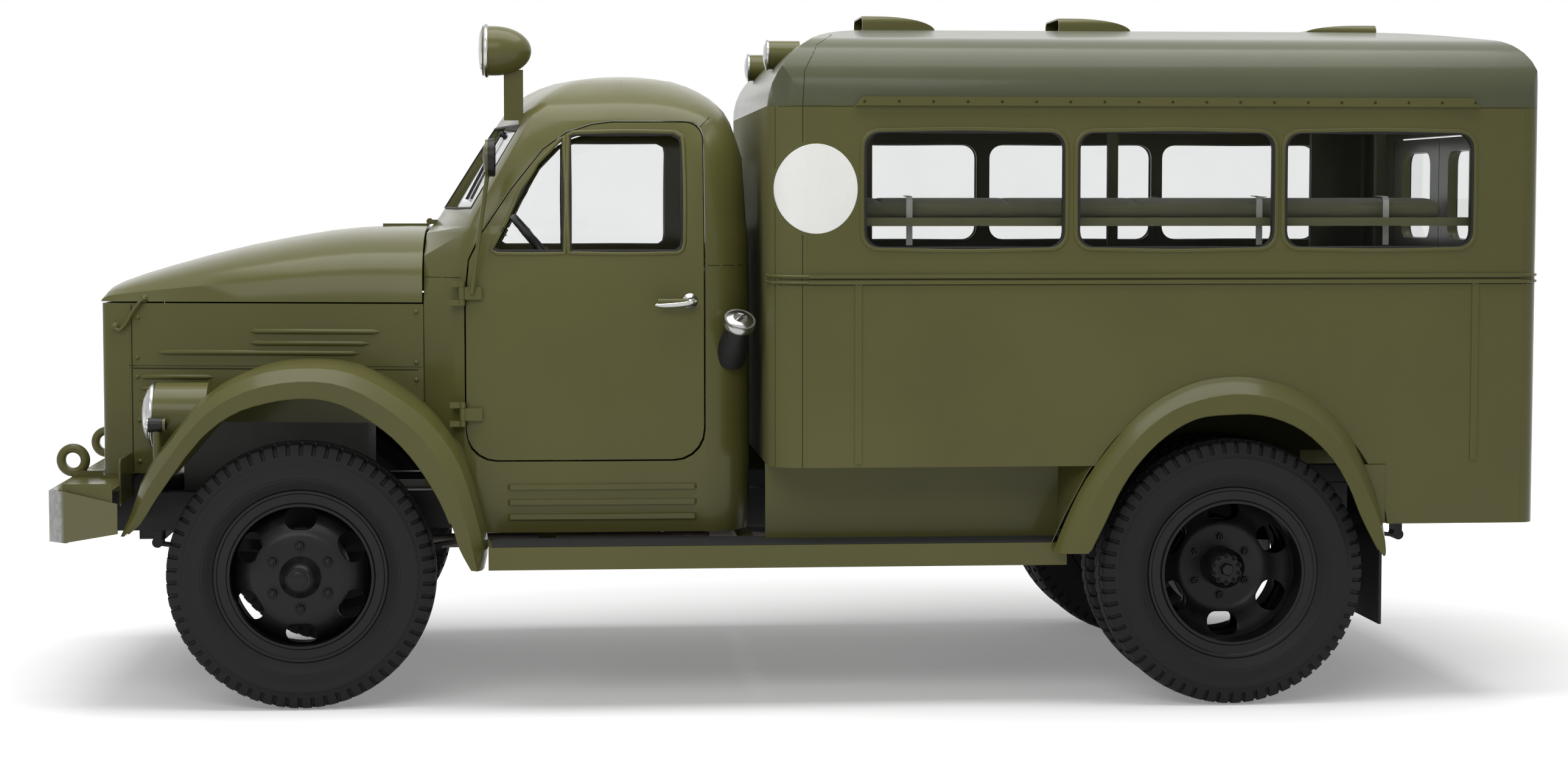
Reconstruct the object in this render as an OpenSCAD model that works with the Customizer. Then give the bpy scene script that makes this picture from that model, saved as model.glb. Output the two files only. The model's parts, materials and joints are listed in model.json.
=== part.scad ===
// Military ambulance truck: bonneted two-axle chassis with a two-door cab and a closed ambulance body.
// Front points to -X, the left side to -Y, the ground is Z = 0. Stations are measured from the front axle.

/* [Chassis] */
// Front axle to rear axle
wheelbase = 3300; // [3280:5:3320]
// Front axle to the tip of the tow hooks
front_overhang = 920; // [915:1:935]
// Rear axle to the back of the rear door hinges
rear_overhang = 1120; // [1100:5:1140]
// Front wheel centre to front wheel centre
front_track = 1584; // [1576:2:1592]
// Middle of the left twin wheels to middle of the right ones
rear_track = 1650; // [1640:2:1660]
// Centre to centre of twin tyres
dual_pitch = 262; // [256:2:268]
// Left kingpin to right kingpin
kingpin_span = 1400; // [1392:2:1408]

/* [Wheels] */
// Radius of the tread
tyre_r = 475; // [470:1:480]
// Width of the tyre at its widest
tyre_w = 206; // [196:2:210]
// Radius of the tyre seat on the rim
rim_r = 262; // [256:1:266]
// Number of hand holes in a wheel disc
hand_holes = 6; // [5:1:8]

/* [Cab] */
// Station of the cab front wall
cowl_x = 430; // [426:1:434]
// Station of the cab back wall
cab_rear_x = 1600; // [1592:1:1604]
// Half the cab width at the belt line
cab_half_w = 820; // [812:1:826]
// Height of the cab roof crown
cab_top_z = 2262; // [2240:2:2280]
// Thickness of cab walls and doors
cab_wall = 38; // [34:1:42]
// Gap around doors and hood
panel_gap = 6; // [5:0.5:7]

/* [Hood] */
// Half the hood width at the grille
hood_front_w = 470; // [460:2:480]
// Half the hood width at the cab
hood_rear_w = 680; // [672:2:686]
// Height of the hood edge
hood_edge_z = 1434; // [1424:2:1440]
// Height of the hood crown at the cab
hood_crown_z = 1704; // [1690:2:1708]

/* [Ambulance body] */
// Station of the body front wall
body_front_x = 1645; // [1636:1:1660]
// Half the body width
body_half_w = 1050; // [1040:2:1056]
// Thickness of the body walls
body_wall = 40; // [34:1:44]
// Height of the body floor top
floor_z = 900; // [890:2:910]
// Height of the joint of walls and roof
gutter_z = 2130; // [2110:5:2150]
// Height of the roof crown
roof_top_z = 2440; // [2420:5:2450]
// Height of the window sill
window_sill_z = 1634; // [1620:2:1650]
// Height of a body window
window_h = 402; // [380:2:420]
// Half the rear doorway
doorway_half_w = 606; // [590:2:620]

/* [Hidden] */
$fn = 48;
// Clearance of seated pieces, of pins in barrels, of hinge lugs from barrels, and overrun of cuts
seat_gap = 0.3;
pin_gap = 0.5;
lug_gap = 1;
over = 10;
curve_n = 12;
bend_n = 5;
front_end_x = -front_overhang;
rear_end_x = wheelbase + rear_overhang;
mid_x = (front_end_x + rear_end_x) / 2;

// Frame rails and cross members
rail_y0 = 340;
rail_y1 = 400;
rail_z0 = 590;
rail_z1 = 730;
rail_t = 8;
rail_nose = 120;
rail_tail = 80;
rail_front_x = front_end_x + rail_nose;
rail_rear_x = rear_end_x - rail_tail;
cross_w = 80;
cross_drop = 40;
cross_rise = 10;
cross_z0 = rail_z0 - cross_drop;
cross_z1 = rail_z0 + cross_rise;
mid_cross_h = 82;
mid_cross_z1 = rail_z1 - rail_t;
mid_cross_z0 = mid_cross_z1 - mid_cross_h;
mid_cross_shares = [0.3, 0.55, 0.8];
tow_plate_t = 10;
tow_hole_r = 8.5;
tow_hole_y = 60;
tow_hole_z = 30;

// Bumper and tow hooks
hook_reach = 55;
bumper_half_w = 950;
bumper_front_x = front_end_x + hook_reach;
bumper_t = 12;
bumper_z0 = 610;
bumper_z1 = 790;
bumper_corner = 60;
bumper_corner_x = bumper_front_x + bumper_corner;
wing_len = 183;
wing_rise = 30;
wing_fall = 45;
shelf_len = 120;
shelf_rear_x = bumper_front_x + shelf_len;
shelf_half_w = 430;
shelf_t = 8;
shelf_slots = 4;
shelf_slot_w = 14;
shelf_slot_pitch = 70;
horn_x = rail_front_x - seat_gap;
hook_y = 400;
hook_ring_r = 42;
hook_tube_r = 19;
hook_bore_r = 28;
hook_z = bumper_z1 + hook_ring_r + hook_tube_r + seat_gap;
hook_x = front_end_x + hook_ring_r + hook_tube_r;
hook_foot_end = 5;
hook_foot_x = shelf_rear_x - hook_foot_end;
hook_foot_h = 24;

// Springs and axles
spring_half_w = 32;
front_spring_y = 370;
rear_spring_out = 45;
rear_spring_y = rail_y1 + rear_spring_out;
leaf_t = 11;
leaf_count = 5;
leaf_parts = 7;
front_leaf_half = 560;
rear_leaf_half = 770;
front_camber = 45;
rear_camber = -45;
spring_eye_r = 20;
hanger_half = 14;
hanger_rise = 90;
clamp_t = 12;
clamp_half = 60;
axle_half = 35;
axle_web_half = 10;
axle_flange = 14;
axle_top_drop = 30;
axle_top_z = tyre_r - axle_top_drop;
axle_drop = 70;
eye_r = 46;
kingpin_r = 22;
ear_t = 26;
knuckle_web_gap = 2;
knuckle_web_t = 18;
spindle_r = 28;
spindle_out = 136;
hub_r = 72;
drum_r = 170;
drum_t = 12;
rear_tube_r = 55;
rear_stub_r = 45;
rear_stub_out = 85;
diff_r = 150;

// Grille, hood and hood sides
grille_nose = 180;
grille_len = 100;
grille_front_x = front_end_x + grille_nose;
grille_rear_x = grille_front_x + grille_len;
grille_z0 = 806;
grille_t = 12;
grille_corner_r = 36;
grille_slots = 6;
grille_slot_half_w = 385;
grille_slot_h = 38;
grille_slot_r = 17;
grille_slot_z0 = 900;
grille_slot_z1 = 1330;
hood_t = 12;
side_t = 12;
side_low_z = 1000;
side_nose_z = 810;
side_nose_len = 170;
side_seam_z = 1199;
side_seam_h = 5;
side_seam_d = 4;
louvre_r = 10;
louvre_tip = 26;
louvre_end_r = 1;
// Louvres: station shares of both ends along the panel, height share of the panel above its low edge
louvre_shares = [[0.435, 0.832, 0.766], [0.435, 0.797, 0.668], [0.12, 0.76, 0.586], [0.055, 0.265, 0.378],
    [0.055, 0.2, 0.28], [0.055, 0.17, 0.182]];
// Hood sections: station share of the hood length, crown share of the crown rise
hood_shares = [[0, 0.06], [0.012, 0.165], [0.043, 0.26], [0.19, 0.47], [0.43, 0.735], [0.69, 0.938],
    [0.865, 0.996], [1, 1]];
hood_steps = 2;
hood_power = 0.714;
hood_n = 14;
hood_low_share = 0.25;
strap_half_w = 30;
strap_len = 180;
strap_t = 8;
hood_pin_r = 6;
hood_barrel_r = 12;
hood_pin_lead = 4;
hood_pin_up = 16;
hood_pin_x = cowl_x - hood_pin_lead;
hood_pin_z = hood_crown_z + hood_pin_up;
hood_lug_y = 44;
hood_lug_t = 16;

// Front fenders and lamps
fender_t = 12;
fender_lip_y = 958;
fender_crease_y = 972;
fender_round_y = 936;
fender_crest_y = 866;
fender_crease_share = 0.47;
fender_round_share = 0.84;
fender_steps = 3;
fender_arch_r = 560;
fender_in = 10;
fender_corner = 130;
// Front fender: lip station, lip height, crest station, crest height, all shares of the arch radius from
// the axle
fender_shares = [[-1.054, 0.295, -1.104, 0.273], [-0.973, 0.366, -1.036, 0.441], [-0.861, 0.543, -0.929,
    0.705],
    [-0.605, 0.886, -0.589, 1.134], [-0.354, 1.066, -0.268, 1.307], [0, 1.141, 0.036, 1.352],
    [0.273, 1.1, 0.354, 1.318], [0.543, 0.934, 0.661, 1.155], [0.721, 0.75, 0.875, 0.973],
    [0.864, 0.527, 1.036, 0.723], [0.954, 0.327, 1.143, 0.352], [1, 0.18, 1.173, 0.173],
    [1.071, 0.045, 1.152, 0.041]];
lamp_x = -530;
lamp_y = 700;
lamp_z = 1037;
lamp_r = 115;
lamp_depth = 200;
lamp_rim_r = 9;
lamp_rim_in = 7;
lamp_lens_r = 104;
lamp_lens_out = 36;
side_lamp_x = -527;
side_lamp_y = 850;
side_lamp_z = 1012;
side_lamp_r = 24;
side_lamp_len = 62;
side_lamp_stalk_r = 14;
side_lamp_stalk = 160;

// Running boards and skirts
board_x0 = 662;
board_back = 596;
board_x1 = wheelbase - board_back;
board_y0 = 740;
board_y1 = 1020;
board_z1 = 588;
board_t = 24;
board_lip_z = 508;
board_lip_t = 14;
bracket_half = 30;
bracket_t = 8;
bracket_rise = 80;
bracket_shares = [0.1, 0.45, 0.85];
skirt_in = 215;
skirt_y = body_half_w - skirt_in;
skirt_t = 14;

// Cab shell, doors and glass
cab_z0 = 615;
door_x0 = 580;
door_x1 = 1430;
door_z0 = 873;
door_z1 = 2080;
door_corner_r = 110;
// Cab sections: height share, front share, front half width share, pillar station share, pillar width
// share,
// side width share, rear share, corner radius share, share of the wall that the inside drops
cab_shares = [[0, 0, 0.805, 0.111, 0.963, 0.976, 0.992, 0.18, 0],
    [0.052, 0, 0.817, 0.12, 0.976, 0.994, 1, 0.2, 0],
    [0.497, 0, 0.829, 0.124, 0.976, 1, 1, 0.207, 0],
    [0.598, 0, 0.756, 0.132, 0.957, 0.988, 0.998, 0.207, 0.1],
    [0.647, 0.002, 0.512, 0.135, 0.945, 0.976, 0.997, 0.207, 0.4],
    [0.662, 0.008, 0.073, 0.137, 0.933, 0.97, 0.993, 0.207, 0.5],
    [0.684, 0.032, 0.037, 0.149, 0.927, 0.963, 0.991, 0.207, 0.3],
    [0.811, 0.144, 0.037, 0.25, 0.854, 0.909, 0.983, 0.22, 0],
    [0.892, 0.218, 0.037, 0.315, 0.799, 0.854, 0.949, 0.26, 0.2],
    [0.932, 0.261, 0.037, 0.35, 0.732, 0.78, 0.914, 0.3, 0.5],
    [0.962, 0.316, 0.037, 0.402, 0.61, 0.659, 0.863, 0.3, 0.8],
    [0.987, 0.402, 0.037, 0.47, 0.439, 0.488, 0.786, 0.25, 0.95],
    [1, 0.513, 0.037, 0.556, 0.183, 0.22, 0.684, 0.1, 1]];
cab_plain_rows = 7;
cab_roof_steps = 2;
cab_mid_share = 0.45;
cab_centre_share = 0.5;
cab_least_share = 0.02;
cab_corner_least_share = 0.04;
cab_corner_n = 4;
pillar_r = 46;
pillar_n = 2;
cab_len = cab_rear_x - cowl_x;
cab_h = cab_top_z - cab_z0;
wheel_house_x = 535;
wheel_house_z = 775;
tunnel_half_w = 450;
tunnel_rise = 10;
tunnel_z = rail_z1 + tunnel_rise;
cab_floor_rise = 24;
cab_floor_z = rail_z1 + cab_floor_rise;
rib_x0 = 727;
rib_x1 = 1401;
rib_r = 9;
rib_shares = [0.035, 0.067, 0.1];
// Slanted front edge of the door: shares of the door width and height
door_slant_shares = [[0, 0.486], [0.016, 0.593], [0.07, 0.671], [0.189, 0.797], [0.328, 0.92], [0.424,
    0.968],
    [0.536, 0.993], [0.62, 1]];
door_top_r = 60;
// Door window: shares of the door width and height, its middle, and the ends of the vent post
door_window_shares = [[0.117, 0.63], [0.298, 0.867], [0.393, 0.94], [0.465, 0.96], [0.672, 0.961], [0.87,
    0.961],
    [0.9, 0.95], [0.906, 0.93], [0.906, 0.65], [0.9, 0.63], [0.88, 0.62], [0.14, 0.62]];
door_window_mid_shares = [0.5, 0.8];
vent_post_shares = [0.408, 0.442];
window_reach = 400;
glass_t = 6;
glass_in = 16;
screen_y0 = 30;
screen_y1 = 640;
screen_z0 = 1772;
screen_z1 = 2070;
screen_top_share = 0.9;
screen_r = 40;
back_window_half = 320;
back_window_z0 = 1700;
back_window_z1 = 1950;
door_pin_x = 570;
door_pin_y = 815;
door_pin_r = 6;
door_barrel_r = 11;
door_barrel_h = 44;
door_hinge_zs = [1040, 1470];
door_leaf_len = 70;
door_leaf_t = 8;
door_leaf_in = 20;
lug_h = 20;
lug_back = 45;
lug_in = 40;
handle_x0 = 1262;
handle_len = 130;
handle_z = 1441;
handle_out = 45;
handle_r = 10;

// Fuel filler, searchlight and mirror
filler_foot = [1523, -770, 1228];
filler_top = [1548, -868, 1358];
filler_neck_r = 30;
filler_flange_r = 46;
filler_flange_h = 44;
filler_cap_r = 56;
filler_cap_h = 26;
mast_x = 752;
mast_y = 480;
mast_w = 70;
mast_t = 12;
mast_foot_z = 2090;
mast_bite = 22;
spot_z = 2342;
spot_r = 90;
mast_z = spot_z - spot_r + mast_bite;
spot_x0 = 640;
spot_len = 178;
spot_rim_r = 7;
spot_band_share = 0.25;
spot_lens_in = 8;
spot_lens_out = 14;
mirror_z0 = 1886;
mirror_h = 126;
mirror_t = 30;
mirror_x = 672;
mirror_y = 880;
arm_r = 8;

// Cab furniture
dash_x1 = 600;
dash_half_w = 540;
dash_z0 = 1380;
dash_z1 = 1560;
dash_slope_share = 0.55;
bench_x0 = 960;
bench_x1 = 1400;
bench_back_x = 1520;
bench_half_w = 690;
bench_z0 = 1000;
bench_z1 = 1120;
bench_top_z = 1590;
wheel_y = -380;
steer_r = 200;
steer_tube_r = 15;
steer_x = 880;
steer_z = 1580;
steer_tilt = 50;
column_r = 22;
column_x = cowl_x + cab_wall + seat_gap + column_r * cos(steer_tilt);

// Ambulance body
corner_r = 130;
rear_corner_r = 60;
rear_pin_out = 11.5;
rear_barrel_r = 11;
body_rear_x = rear_end_x - rear_pin_out - rear_barrel_r;
sill_z = 862;
low_sill_z = 647;
low_sill_back = 546;
low_sill_x0 = wheelbase + low_sill_back;
side_x0 = body_front_x + corner_r;
side_x1 = body_rear_x - rear_corner_r;
arch_r = 570;
arch_rise = 100;
arch_lead = 10;
arch_z = tyre_r + arch_rise;
box_r = 640;
box_t = 16;
box_y = 540;
floor_t = 30;
sill_shares = [0.08, 0.35, 0.72, 0.94];
sill_half = 40;
// Windows: both ends as shares of the distance from body front to body rear
window_shares = [[0.122, 0.376], [0.396, 0.648], [0.665, 0.909]];
window_r = 55;
strip_shares = [0.113, 0.915];
strip_half_w = 12;
strip_out = 4;
gutter_shares = [0.109, 0.917];
gutter_h = 28;
gutter_out = 14;
bead_drop = 129;
bead_z = window_sill_z - bead_drop;
bead_h = 13;
bead_pitch = 22;
bead_out = 8;
dome_front = 430;
dome_rear = 460;
dome_rear_power = 0.667;
roof_side_rise_share = 0.806;
roof_side_rise = (roof_top_z - gutter_z) * roof_side_rise_share;
roof_side_run = 300;
roof_side_angle = 80;
roof_side_power = 0.8;
roof_flat = 220;
roof_wall = 34;
doorway_top_drop = 80;
doorway_z0 = floor_z;
doorway_z1 = gutter_z - doorway_top_drop;
rear_pin_x = body_rear_x + rear_pin_out;
rear_pin_y = doorway_half_w + lug_gap;
rear_pin_r = 5;
rear_hinge_shares = [0.12, 0.5, 0.88];
rear_barrel_h = 50;
rear_leaf_len = 70;
rear_glass_shares = [0.652, 0.948];
rear_glass_in = 110;

// Rear fenders and mud flaps
rear_fender_t = 10;
rear_fender_reach = 70;
rear_fender_out = body_half_w + rear_fender_reach;
rear_fender_r = 560;
rear_steps = 3;
// Rear fender: lip station, lip height, crest station, crest height, all shares of the fender radius
// from the axle
rear_shares = [[-0.957, 0.15, -1.163, 0.146], [-0.861, 0.345, -1.086, 0.343], [-0.727, 0.613, -0.952,
    0.611],
    [-0.536, 0.841, -0.721, 0.916], [-0.304, 0.993, -0.529, 1.088], [-0.071, 1.027, -0.296, 1.204],
    [0.163, 1.02, -0.064, 1.25], [0.398, 0.93, 0.17, 1.236], [0.595, 0.755, 0.445, 1.139],
    [0.716, 0.561, 0.682, 0.945], [0.796, 0.368, 0.843, 0.673], [0.918, 0.138, 0.945, 0.363],
    [0.945, 0.12, 0.959, 0.148]];
// Rear fender section: shares of the way from lip to crest and from wall to lip
rear_mid_shares = [0.55, 0.9];
rear_top_shares = [0.85, 0.5];
rear_back_share = 0.75;
rear_back_t_share = 1.5;
flap_back = 540;
flap_x = wheelbase + flap_back;
flap_t = 10;
flap_y0 = 585;
flap_in = 5;
flap_y1 = body_half_w - body_wall - flap_in;
flap_z0 = 280;

// Roof vents and lamps
vent_half_w = 150;
vent_len = 278;
vent_lip = 40;
vent_h = 58;
vent_t = 6;
vent_r = 26;
// Roof vents: station share of the body, height share, and which way the mouth looks
vent_shares = [[0.153, 1, 1], [0.427, 0.92, 1], [0.775, 0.55, -1]];
roof_lamp_y = 500;
roof_lamp_r = 52;
roof_lamp_share = 0.645;
roof_lamp_z = mix(gutter_z, roof_top_z, roof_lamp_share);
roof_lamp_in = 30;
roof_lamp_x = body_front_x + roof_lamp_in;
roof_lamp_len = 120;
roof_lens_in = 5;
roof_lens_out = 12;

// Stretcher racks
rack_in = 30;
rack_w = 540;
rack_y1 = body_half_w - body_wall - rack_in;
rack_y0 = rack_y1 - rack_w;
rack_shares = [0.12, 0.5, 0.92];
rack_level_shares = [0.228, 0.657];
rack_t = 30;
rack_post = 36;
rack_front_in = 115;
rack_rear_in = 218;
rack_front_x = body_front_x + rack_front_in;
rack_rear_x = body_rear_x - rack_rear_in;
pad_h = 70;
pad_in = 60;

// Engine, radiator, drive and exhaust
engine_x0 = -480;
engine_x1 = 200;
engine_half_w = 240;
engine_z1 = 1220;
gearbox_x1 = 800;
gearbox_half_w = 140;
radiator_x0 = -625;
radiator_x1 = -550;
radiator_half_w = 335;
radiator_z1 = 1350;
shaft_r = 40;
exhaust_y = 220;
exhaust_r = 28;
muffler_r = 75;
muffler_x0 = 1500;
muffler_len = 600;
exhaust_z = 470;
exhaust_x0 = 420;
exhaust_tail = 263;
hanger_t = 10;

// Tyres and wheel discs
// Tyre section: share of the way from rim seat to tread, share of half the width
tyre_shares = [[0, 0.68], [0.2, 0.7], [0.33, 0.94], [0.48, 1], [0.7, 0.97], [0.86, 0.9], [0.972, 0.82], [1,
    0.7]];
rim_half_share = 0.7;
rim_half = tyre_w / 2 * rim_half_share;
rim_lip_t = 8;
rim_lip_h = 42;
rim_bead_w = 9;
rim_bead_h = 5;
rim_groove_h = 4;
rim_in = 14;
disc_t = 9;
disc_edge = 8;
disc_bend_shares = [0.885, 0.3];
disc_shoulder_shares = [0.62, 0.92];
disc_plate_share = 0.55;
disc_hub_in = 4;
hole_ring_share = 0.777;
hole_r = 38;
hole_half_len = 18;
front_rim_a = 10;
front_plate_a = 100;
front_hub_in = 20;
front_shoulder_a = 112;
front_cap_a = 156;
front_cap_r = 50;
front_cap_wall = 10;
front_bore_a = 140;
front_drum_a = 60;
drum_in = 8;
rear_dish_in = 20;
rear_plate_a = 8;
rear_inner_in = 29;
rear_inner_a = 1;
rear_hub_in = 150;
rear_hub_a = 90;
rear_cap_a = 114;
rear_cap_r = 60;
rear_cap_wall = 10;
rear_bore_a = 100;
rear_drum_a = 40;
rear_drum_len = 130;

module slab(x0, x1, y0, y1, z0, z1) {
    translate([x0, y0, z0]) cube([x1 - x0, y1 - y0, z1 - z0]);
}

module pair() {
    children();
    mirror([0, 1, 0]) children();
}

module side_cut(y0, y1) {
    translate([0, y1, 0]) rotate([90, 0, 0]) linear_extrude(y1 - y0) children();
}

module cross_cut(x0, x1) {
    translate([x0, 0, 0]) rotate([90, 0, 90]) linear_extrude(x1 - x0) children();
}

module plan_cut(z0, z1) {
    translate([0, 0, z0]) linear_extrude(z1 - z0) children();
}

module rounded(x0, x1, z0, z1, r) {
    polygon(concat(arc(x1 - r, z1 - r, r, r, 0, 90, bend_n), arc(x0 + r, z1 - r, r, r, 90, 180, bend_n),
        arc(x0 + r, z0 + r, r, r, 180, 270, bend_n), arc(x1 - r, z0 + r, r, r, 270, 360, bend_n)));
}

module across(x, y0, y1, z, r) {
    translate([x, y1, z]) rotate([90, 0, 0]) cylinder(h = y1 - y0, r = r);
}

module along(x0, x1, y, z, r) {
    translate([x0, y, z]) rotate([0, 90, 0]) cylinder(h = x1 - x0, r = r);
}

module rod(from, to, r, r2 = -1) {
    d = to - from;
    translate(from) rotate([0, acos(d[2] / norm(d)), atan2(d[1], d[0])])
        cylinder(h = norm(d), r1 = r, r2 = r2 < 0 ? r : r2);
}

// A round dome that stands on the plane x = 0 of its place and looks forwards
module dome(r, out) {
    rotate([0, -90, 0]) rotate_extrude() polygon(concat([[0, 0]], arc(0, 0, r, out, 0, 90, bend_n)));
}

module skin(rings, band = false) {
    n = len(rings[0]);
    m = len(rings);
    sides = [for (i = [0:m - 2], j = [0:n - 1], k = [0:1]) let (q = (j + 1) % n)
        k == 0 ? [i * n + j, (i + 1) * n + j, (i + 1) * n + q] : [i * n + j, (i + 1) * n + q, i * n + q]];
    strip = [for (j = [0:n / 2 - 2], k = [0:1])
        k == 0 ? [j, j + 1, n - 2 - j] : [j, n - 2 - j, n - 1 - j]];
    whole = [[for (j = [0:n - 1]) j]];
    cap = band ? strip : whole;
    far_cap = [for (c = cap) [for (j = flip(c)) (m - 1) * n + j]];
    polyhedron([for (r = rings) each r], concat(cap, sides, far_cap));
}

function mix(a, b, t) = a + (b - a) * t;
function flip(v) = [for (i = [len(v) - 1:-1:0]) v[i]];
function power(v, e) = sign(v) * pow(abs(v), e);
function arc(cx, cz, rx, rz, a0, a1, n, e = 1) = [for (i = [0:n]) let (a = mix(a0, a1, i / n))
    [cx + rx * power(cos(a), e), cz + rz * power(sin(a), e)]];
// A table with each step between rows split smoothly into k steps
function spline(a, b, c, d, t) = b + (c - a + (2 * a - 5 * b + 4 * c - d + (3 * (b - c) + d - a) * t) * t)
    * t / 2;
function smooth(v, k) = let (n = len(v) - 1) concat([for (i = [0:n - 1], j = [0:k - 1])
    spline(v[max(i - 1, 0)], v[i], v[i + 1], v[min(i + 2, n)], j / k)], [v[n]]);
function hood_y(x) = mix(hood_front_w, hood_rear_w, (x - grille_front_x) / (cowl_x - grille_front_x));
function body_x(s) = mix(body_front_x, body_rear_x, s);
function cross_x(i) = mix(0, rail_rear_x, mid_cross_shares[i]);

module frame() {
    color("#1d1d1c") difference() {
        union() {
            pair() {
                slab(rail_front_x, rail_rear_x, rail_y1 - rail_t, rail_y1, rail_z0, rail_z1);
                slab(rail_front_x, rail_rear_x, rail_y0, rail_y1, rail_z0, rail_z0 + rail_t);
                slab(rail_front_x, rail_rear_x, rail_y0, rail_y1, rail_z1 - rail_t, rail_z1);
            }
            slab(radiator_x0 - over, radiator_x1 + over, -rail_y1, rail_y1, rail_z0, cross_z1);
            slab(radiator_x0 - over, radiator_x1 + over, spring_half_w + over - front_spring_y,
                front_spring_y - spring_half_w - over, cross_z0, cross_z1);
            slab(engine_x0, engine_x0 + cross_w, -rail_y1, rail_y1, cross_z0, cross_z1);
            for (i = [0:len(mid_cross_shares) - 1]) translate([cross_x(i), 0, 0])
                slab(0, cross_w, -rail_y1, rail_y1, mid_cross_z0, mid_cross_z1);
            slab(rail_rear_x - tow_plate_t, rail_rear_x, -rail_y1, rail_y1, rail_z0, rail_z1);
        }
        for (y = [-tow_hole_y, tow_hole_y], z = [-tow_hole_z, tow_hole_z])
            along(rail_rear_x - tow_plate_t - over, rail_rear_x + over, y, (rail_z0 + rail_z1) / 2 + z,
                tow_hole_r);
    }
}

function bumper_path(t) = [[bumper_corner_x + bumper_t, -bumper_half_w + t], [bumper_corner_x,
    -bumper_half_w + t],
    [bumper_front_x + t, -bumper_half_w + bumper_corner + t]];

module front_bumper() {
    outer = bumper_path(0);
    inner = bumper_path(bumper_t);
    wing_x = bumper_corner_x + wing_len;
    color("#5c5a34") {
        plan_cut(bumper_z0, bumper_z1) polygon(concat(outer, [for (p = flip(outer)) [p[0], -p[1]]],
            [for (p = inner) [p[0], -p[1]]], flip(inner)));
        pair() side_cut(bumper_half_w - bumper_t, bumper_half_w) polygon([[bumper_corner_x, bumper_z0],
            [wing_x, bumper_z0 + wing_rise], [wing_x, bumper_z1 - wing_fall], [bumper_corner_x,
                bumper_z1]]);
        difference() {
            slab(bumper_front_x, shelf_rear_x, -shelf_half_w, shelf_half_w, bumper_z1 - shelf_t, bumper_z1);
            pair() for (i = [0:shelf_slots - 1]) translate([0, i * shelf_slot_pitch, 0])
                slab(bumper_front_x + 2 * bumper_t, shelf_rear_x - bumper_t, shelf_slot_w, 2 * shelf_slot_w,
                    bumper_z1 - 2 * shelf_t, bumper_z1 + shelf_t);
        }
        pair() slab(bumper_front_x + bumper_t, horn_x, rail_y0, rail_y1, rail_z0 + bumper_t, rail_z1);
    }
}

module tow_hooks() {
    color("#5c5a34") pair() {
        translate([hook_x, hook_y, hook_z]) rotate([90, 0, 0]) rotate_extrude() difference() {
            translate([hook_ring_r, 0]) circle(hook_tube_r);
            translate([0, -hook_ring_r]) square([hook_bore_r, 2 * hook_ring_r]);
        }
        slab(hook_x, hook_foot_x, hook_y - hook_tube_r, hook_y + hook_tube_r, bumper_z1 + seat_gap,
            bumper_z1 + hook_foot_h);
    }
}

module axle_beam(y0, y1, z0, z1) {
    difference() {
        slab(-axle_half, axle_half, y0, y1, z0, z1);
        for (s = [-1, 1]) scale([s, 1, 1])
            slab(axle_web_half, axle_half + over, y0 + axle_flange, y1 - axle_flange, z0 + axle_flange,
                z1 - axle_flange);
    }
}

module front_axle() {
    seat_y = front_spring_y + spring_half_w;
    color("#1d1d1c") {
        axle_beam(-seat_y - over, seat_y + over, axle_top_z - axle_drop, axle_top_z);
        pair() difference() {
            union() {
                slab(-axle_half, axle_half, seat_y, kingpin_span / 2, axle_top_z - axle_drop / 2,
                    axle_top_z + axle_drop / 2);
                slab(-axle_half, axle_half, seat_y, seat_y + spring_half_w + over, axle_top_z - axle_drop,
                    axle_top_z);
                translate([0, kingpin_span / 2, axle_top_z - axle_drop / 2])
                    cylinder(h = axle_drop, r = eye_r);
            }
            translate([0, kingpin_span / 2, axle_top_z - axle_drop])
                cylinder(h = 2 * axle_drop, r = kingpin_r + pin_gap);
        }
    }
}

// Leaf pack outline: stations in parts of half the length, levels in leaf thicknesses, ends lifted by
// the camber
function leaf_point(j, i, half, camber) = [half * j / leaf_parts, leaf_t * i + camber * pow(j / leaf_parts,
    2)];

module leaf_spring(half, camber) {
    short = leaf_parts - leaf_count + 1;
    steps = [for (i = [1:leaf_count - 1], k = [0:1]) [short + i - 1 + k, i]];
    side_cut(-spring_half_w, spring_half_w) polygon(concat(
        [for (j = [-short:short]) leaf_point(j, 0, half, camber)],
        [for (s = steps) leaf_point(s[0], s[1], half, camber)],
        [for (j = [leaf_parts:-1:-leaf_parts]) leaf_point(j, leaf_count, half, camber)],
        [for (s = flip(steps)) leaf_point(-s[0], s[1], half, camber)]));
    for (s = [-1, 1]) across(s * half, -spring_half_w, spring_half_w, leaf_t * leaf_count + camber,
        spring_eye_r);
    slab(-clamp_half, clamp_half, -spring_half_w, spring_half_w, leaf_t * (leaf_count - 1),
        leaf_t * leaf_count + clamp_t);
}

module leaf_springs() {
    front_z = axle_top_z + seat_gap;
    rear_z = tyre_r + rear_tube_r + seat_gap;
    front_eye_z = front_z + leaf_t * leaf_count + front_camber;
    rear_eye_z = rear_z + leaf_t * leaf_count + rear_camber;
    color("#1d1d1c") pair() {
        translate([0, front_spring_y, front_z]) leaf_spring(front_leaf_half, front_camber);
        translate([wheelbase, rear_spring_y, rear_z]) leaf_spring(rear_leaf_half, rear_camber);
        for (s = [-1, 1]) {
            slab(s * front_leaf_half - hanger_half, s * front_leaf_half + hanger_half,
                front_spring_y - spring_half_w,
                front_spring_y + spring_half_w, front_eye_z, rail_z0 - seat_gap);
            translate([wheelbase + s * rear_leaf_half, 0, 0])
                slab(-hanger_half, hanger_half, rail_y1 + seat_gap,
                rear_spring_y + spring_half_w, rear_eye_z, rail_z0 + hanger_rise);
        }
    }
}

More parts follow.
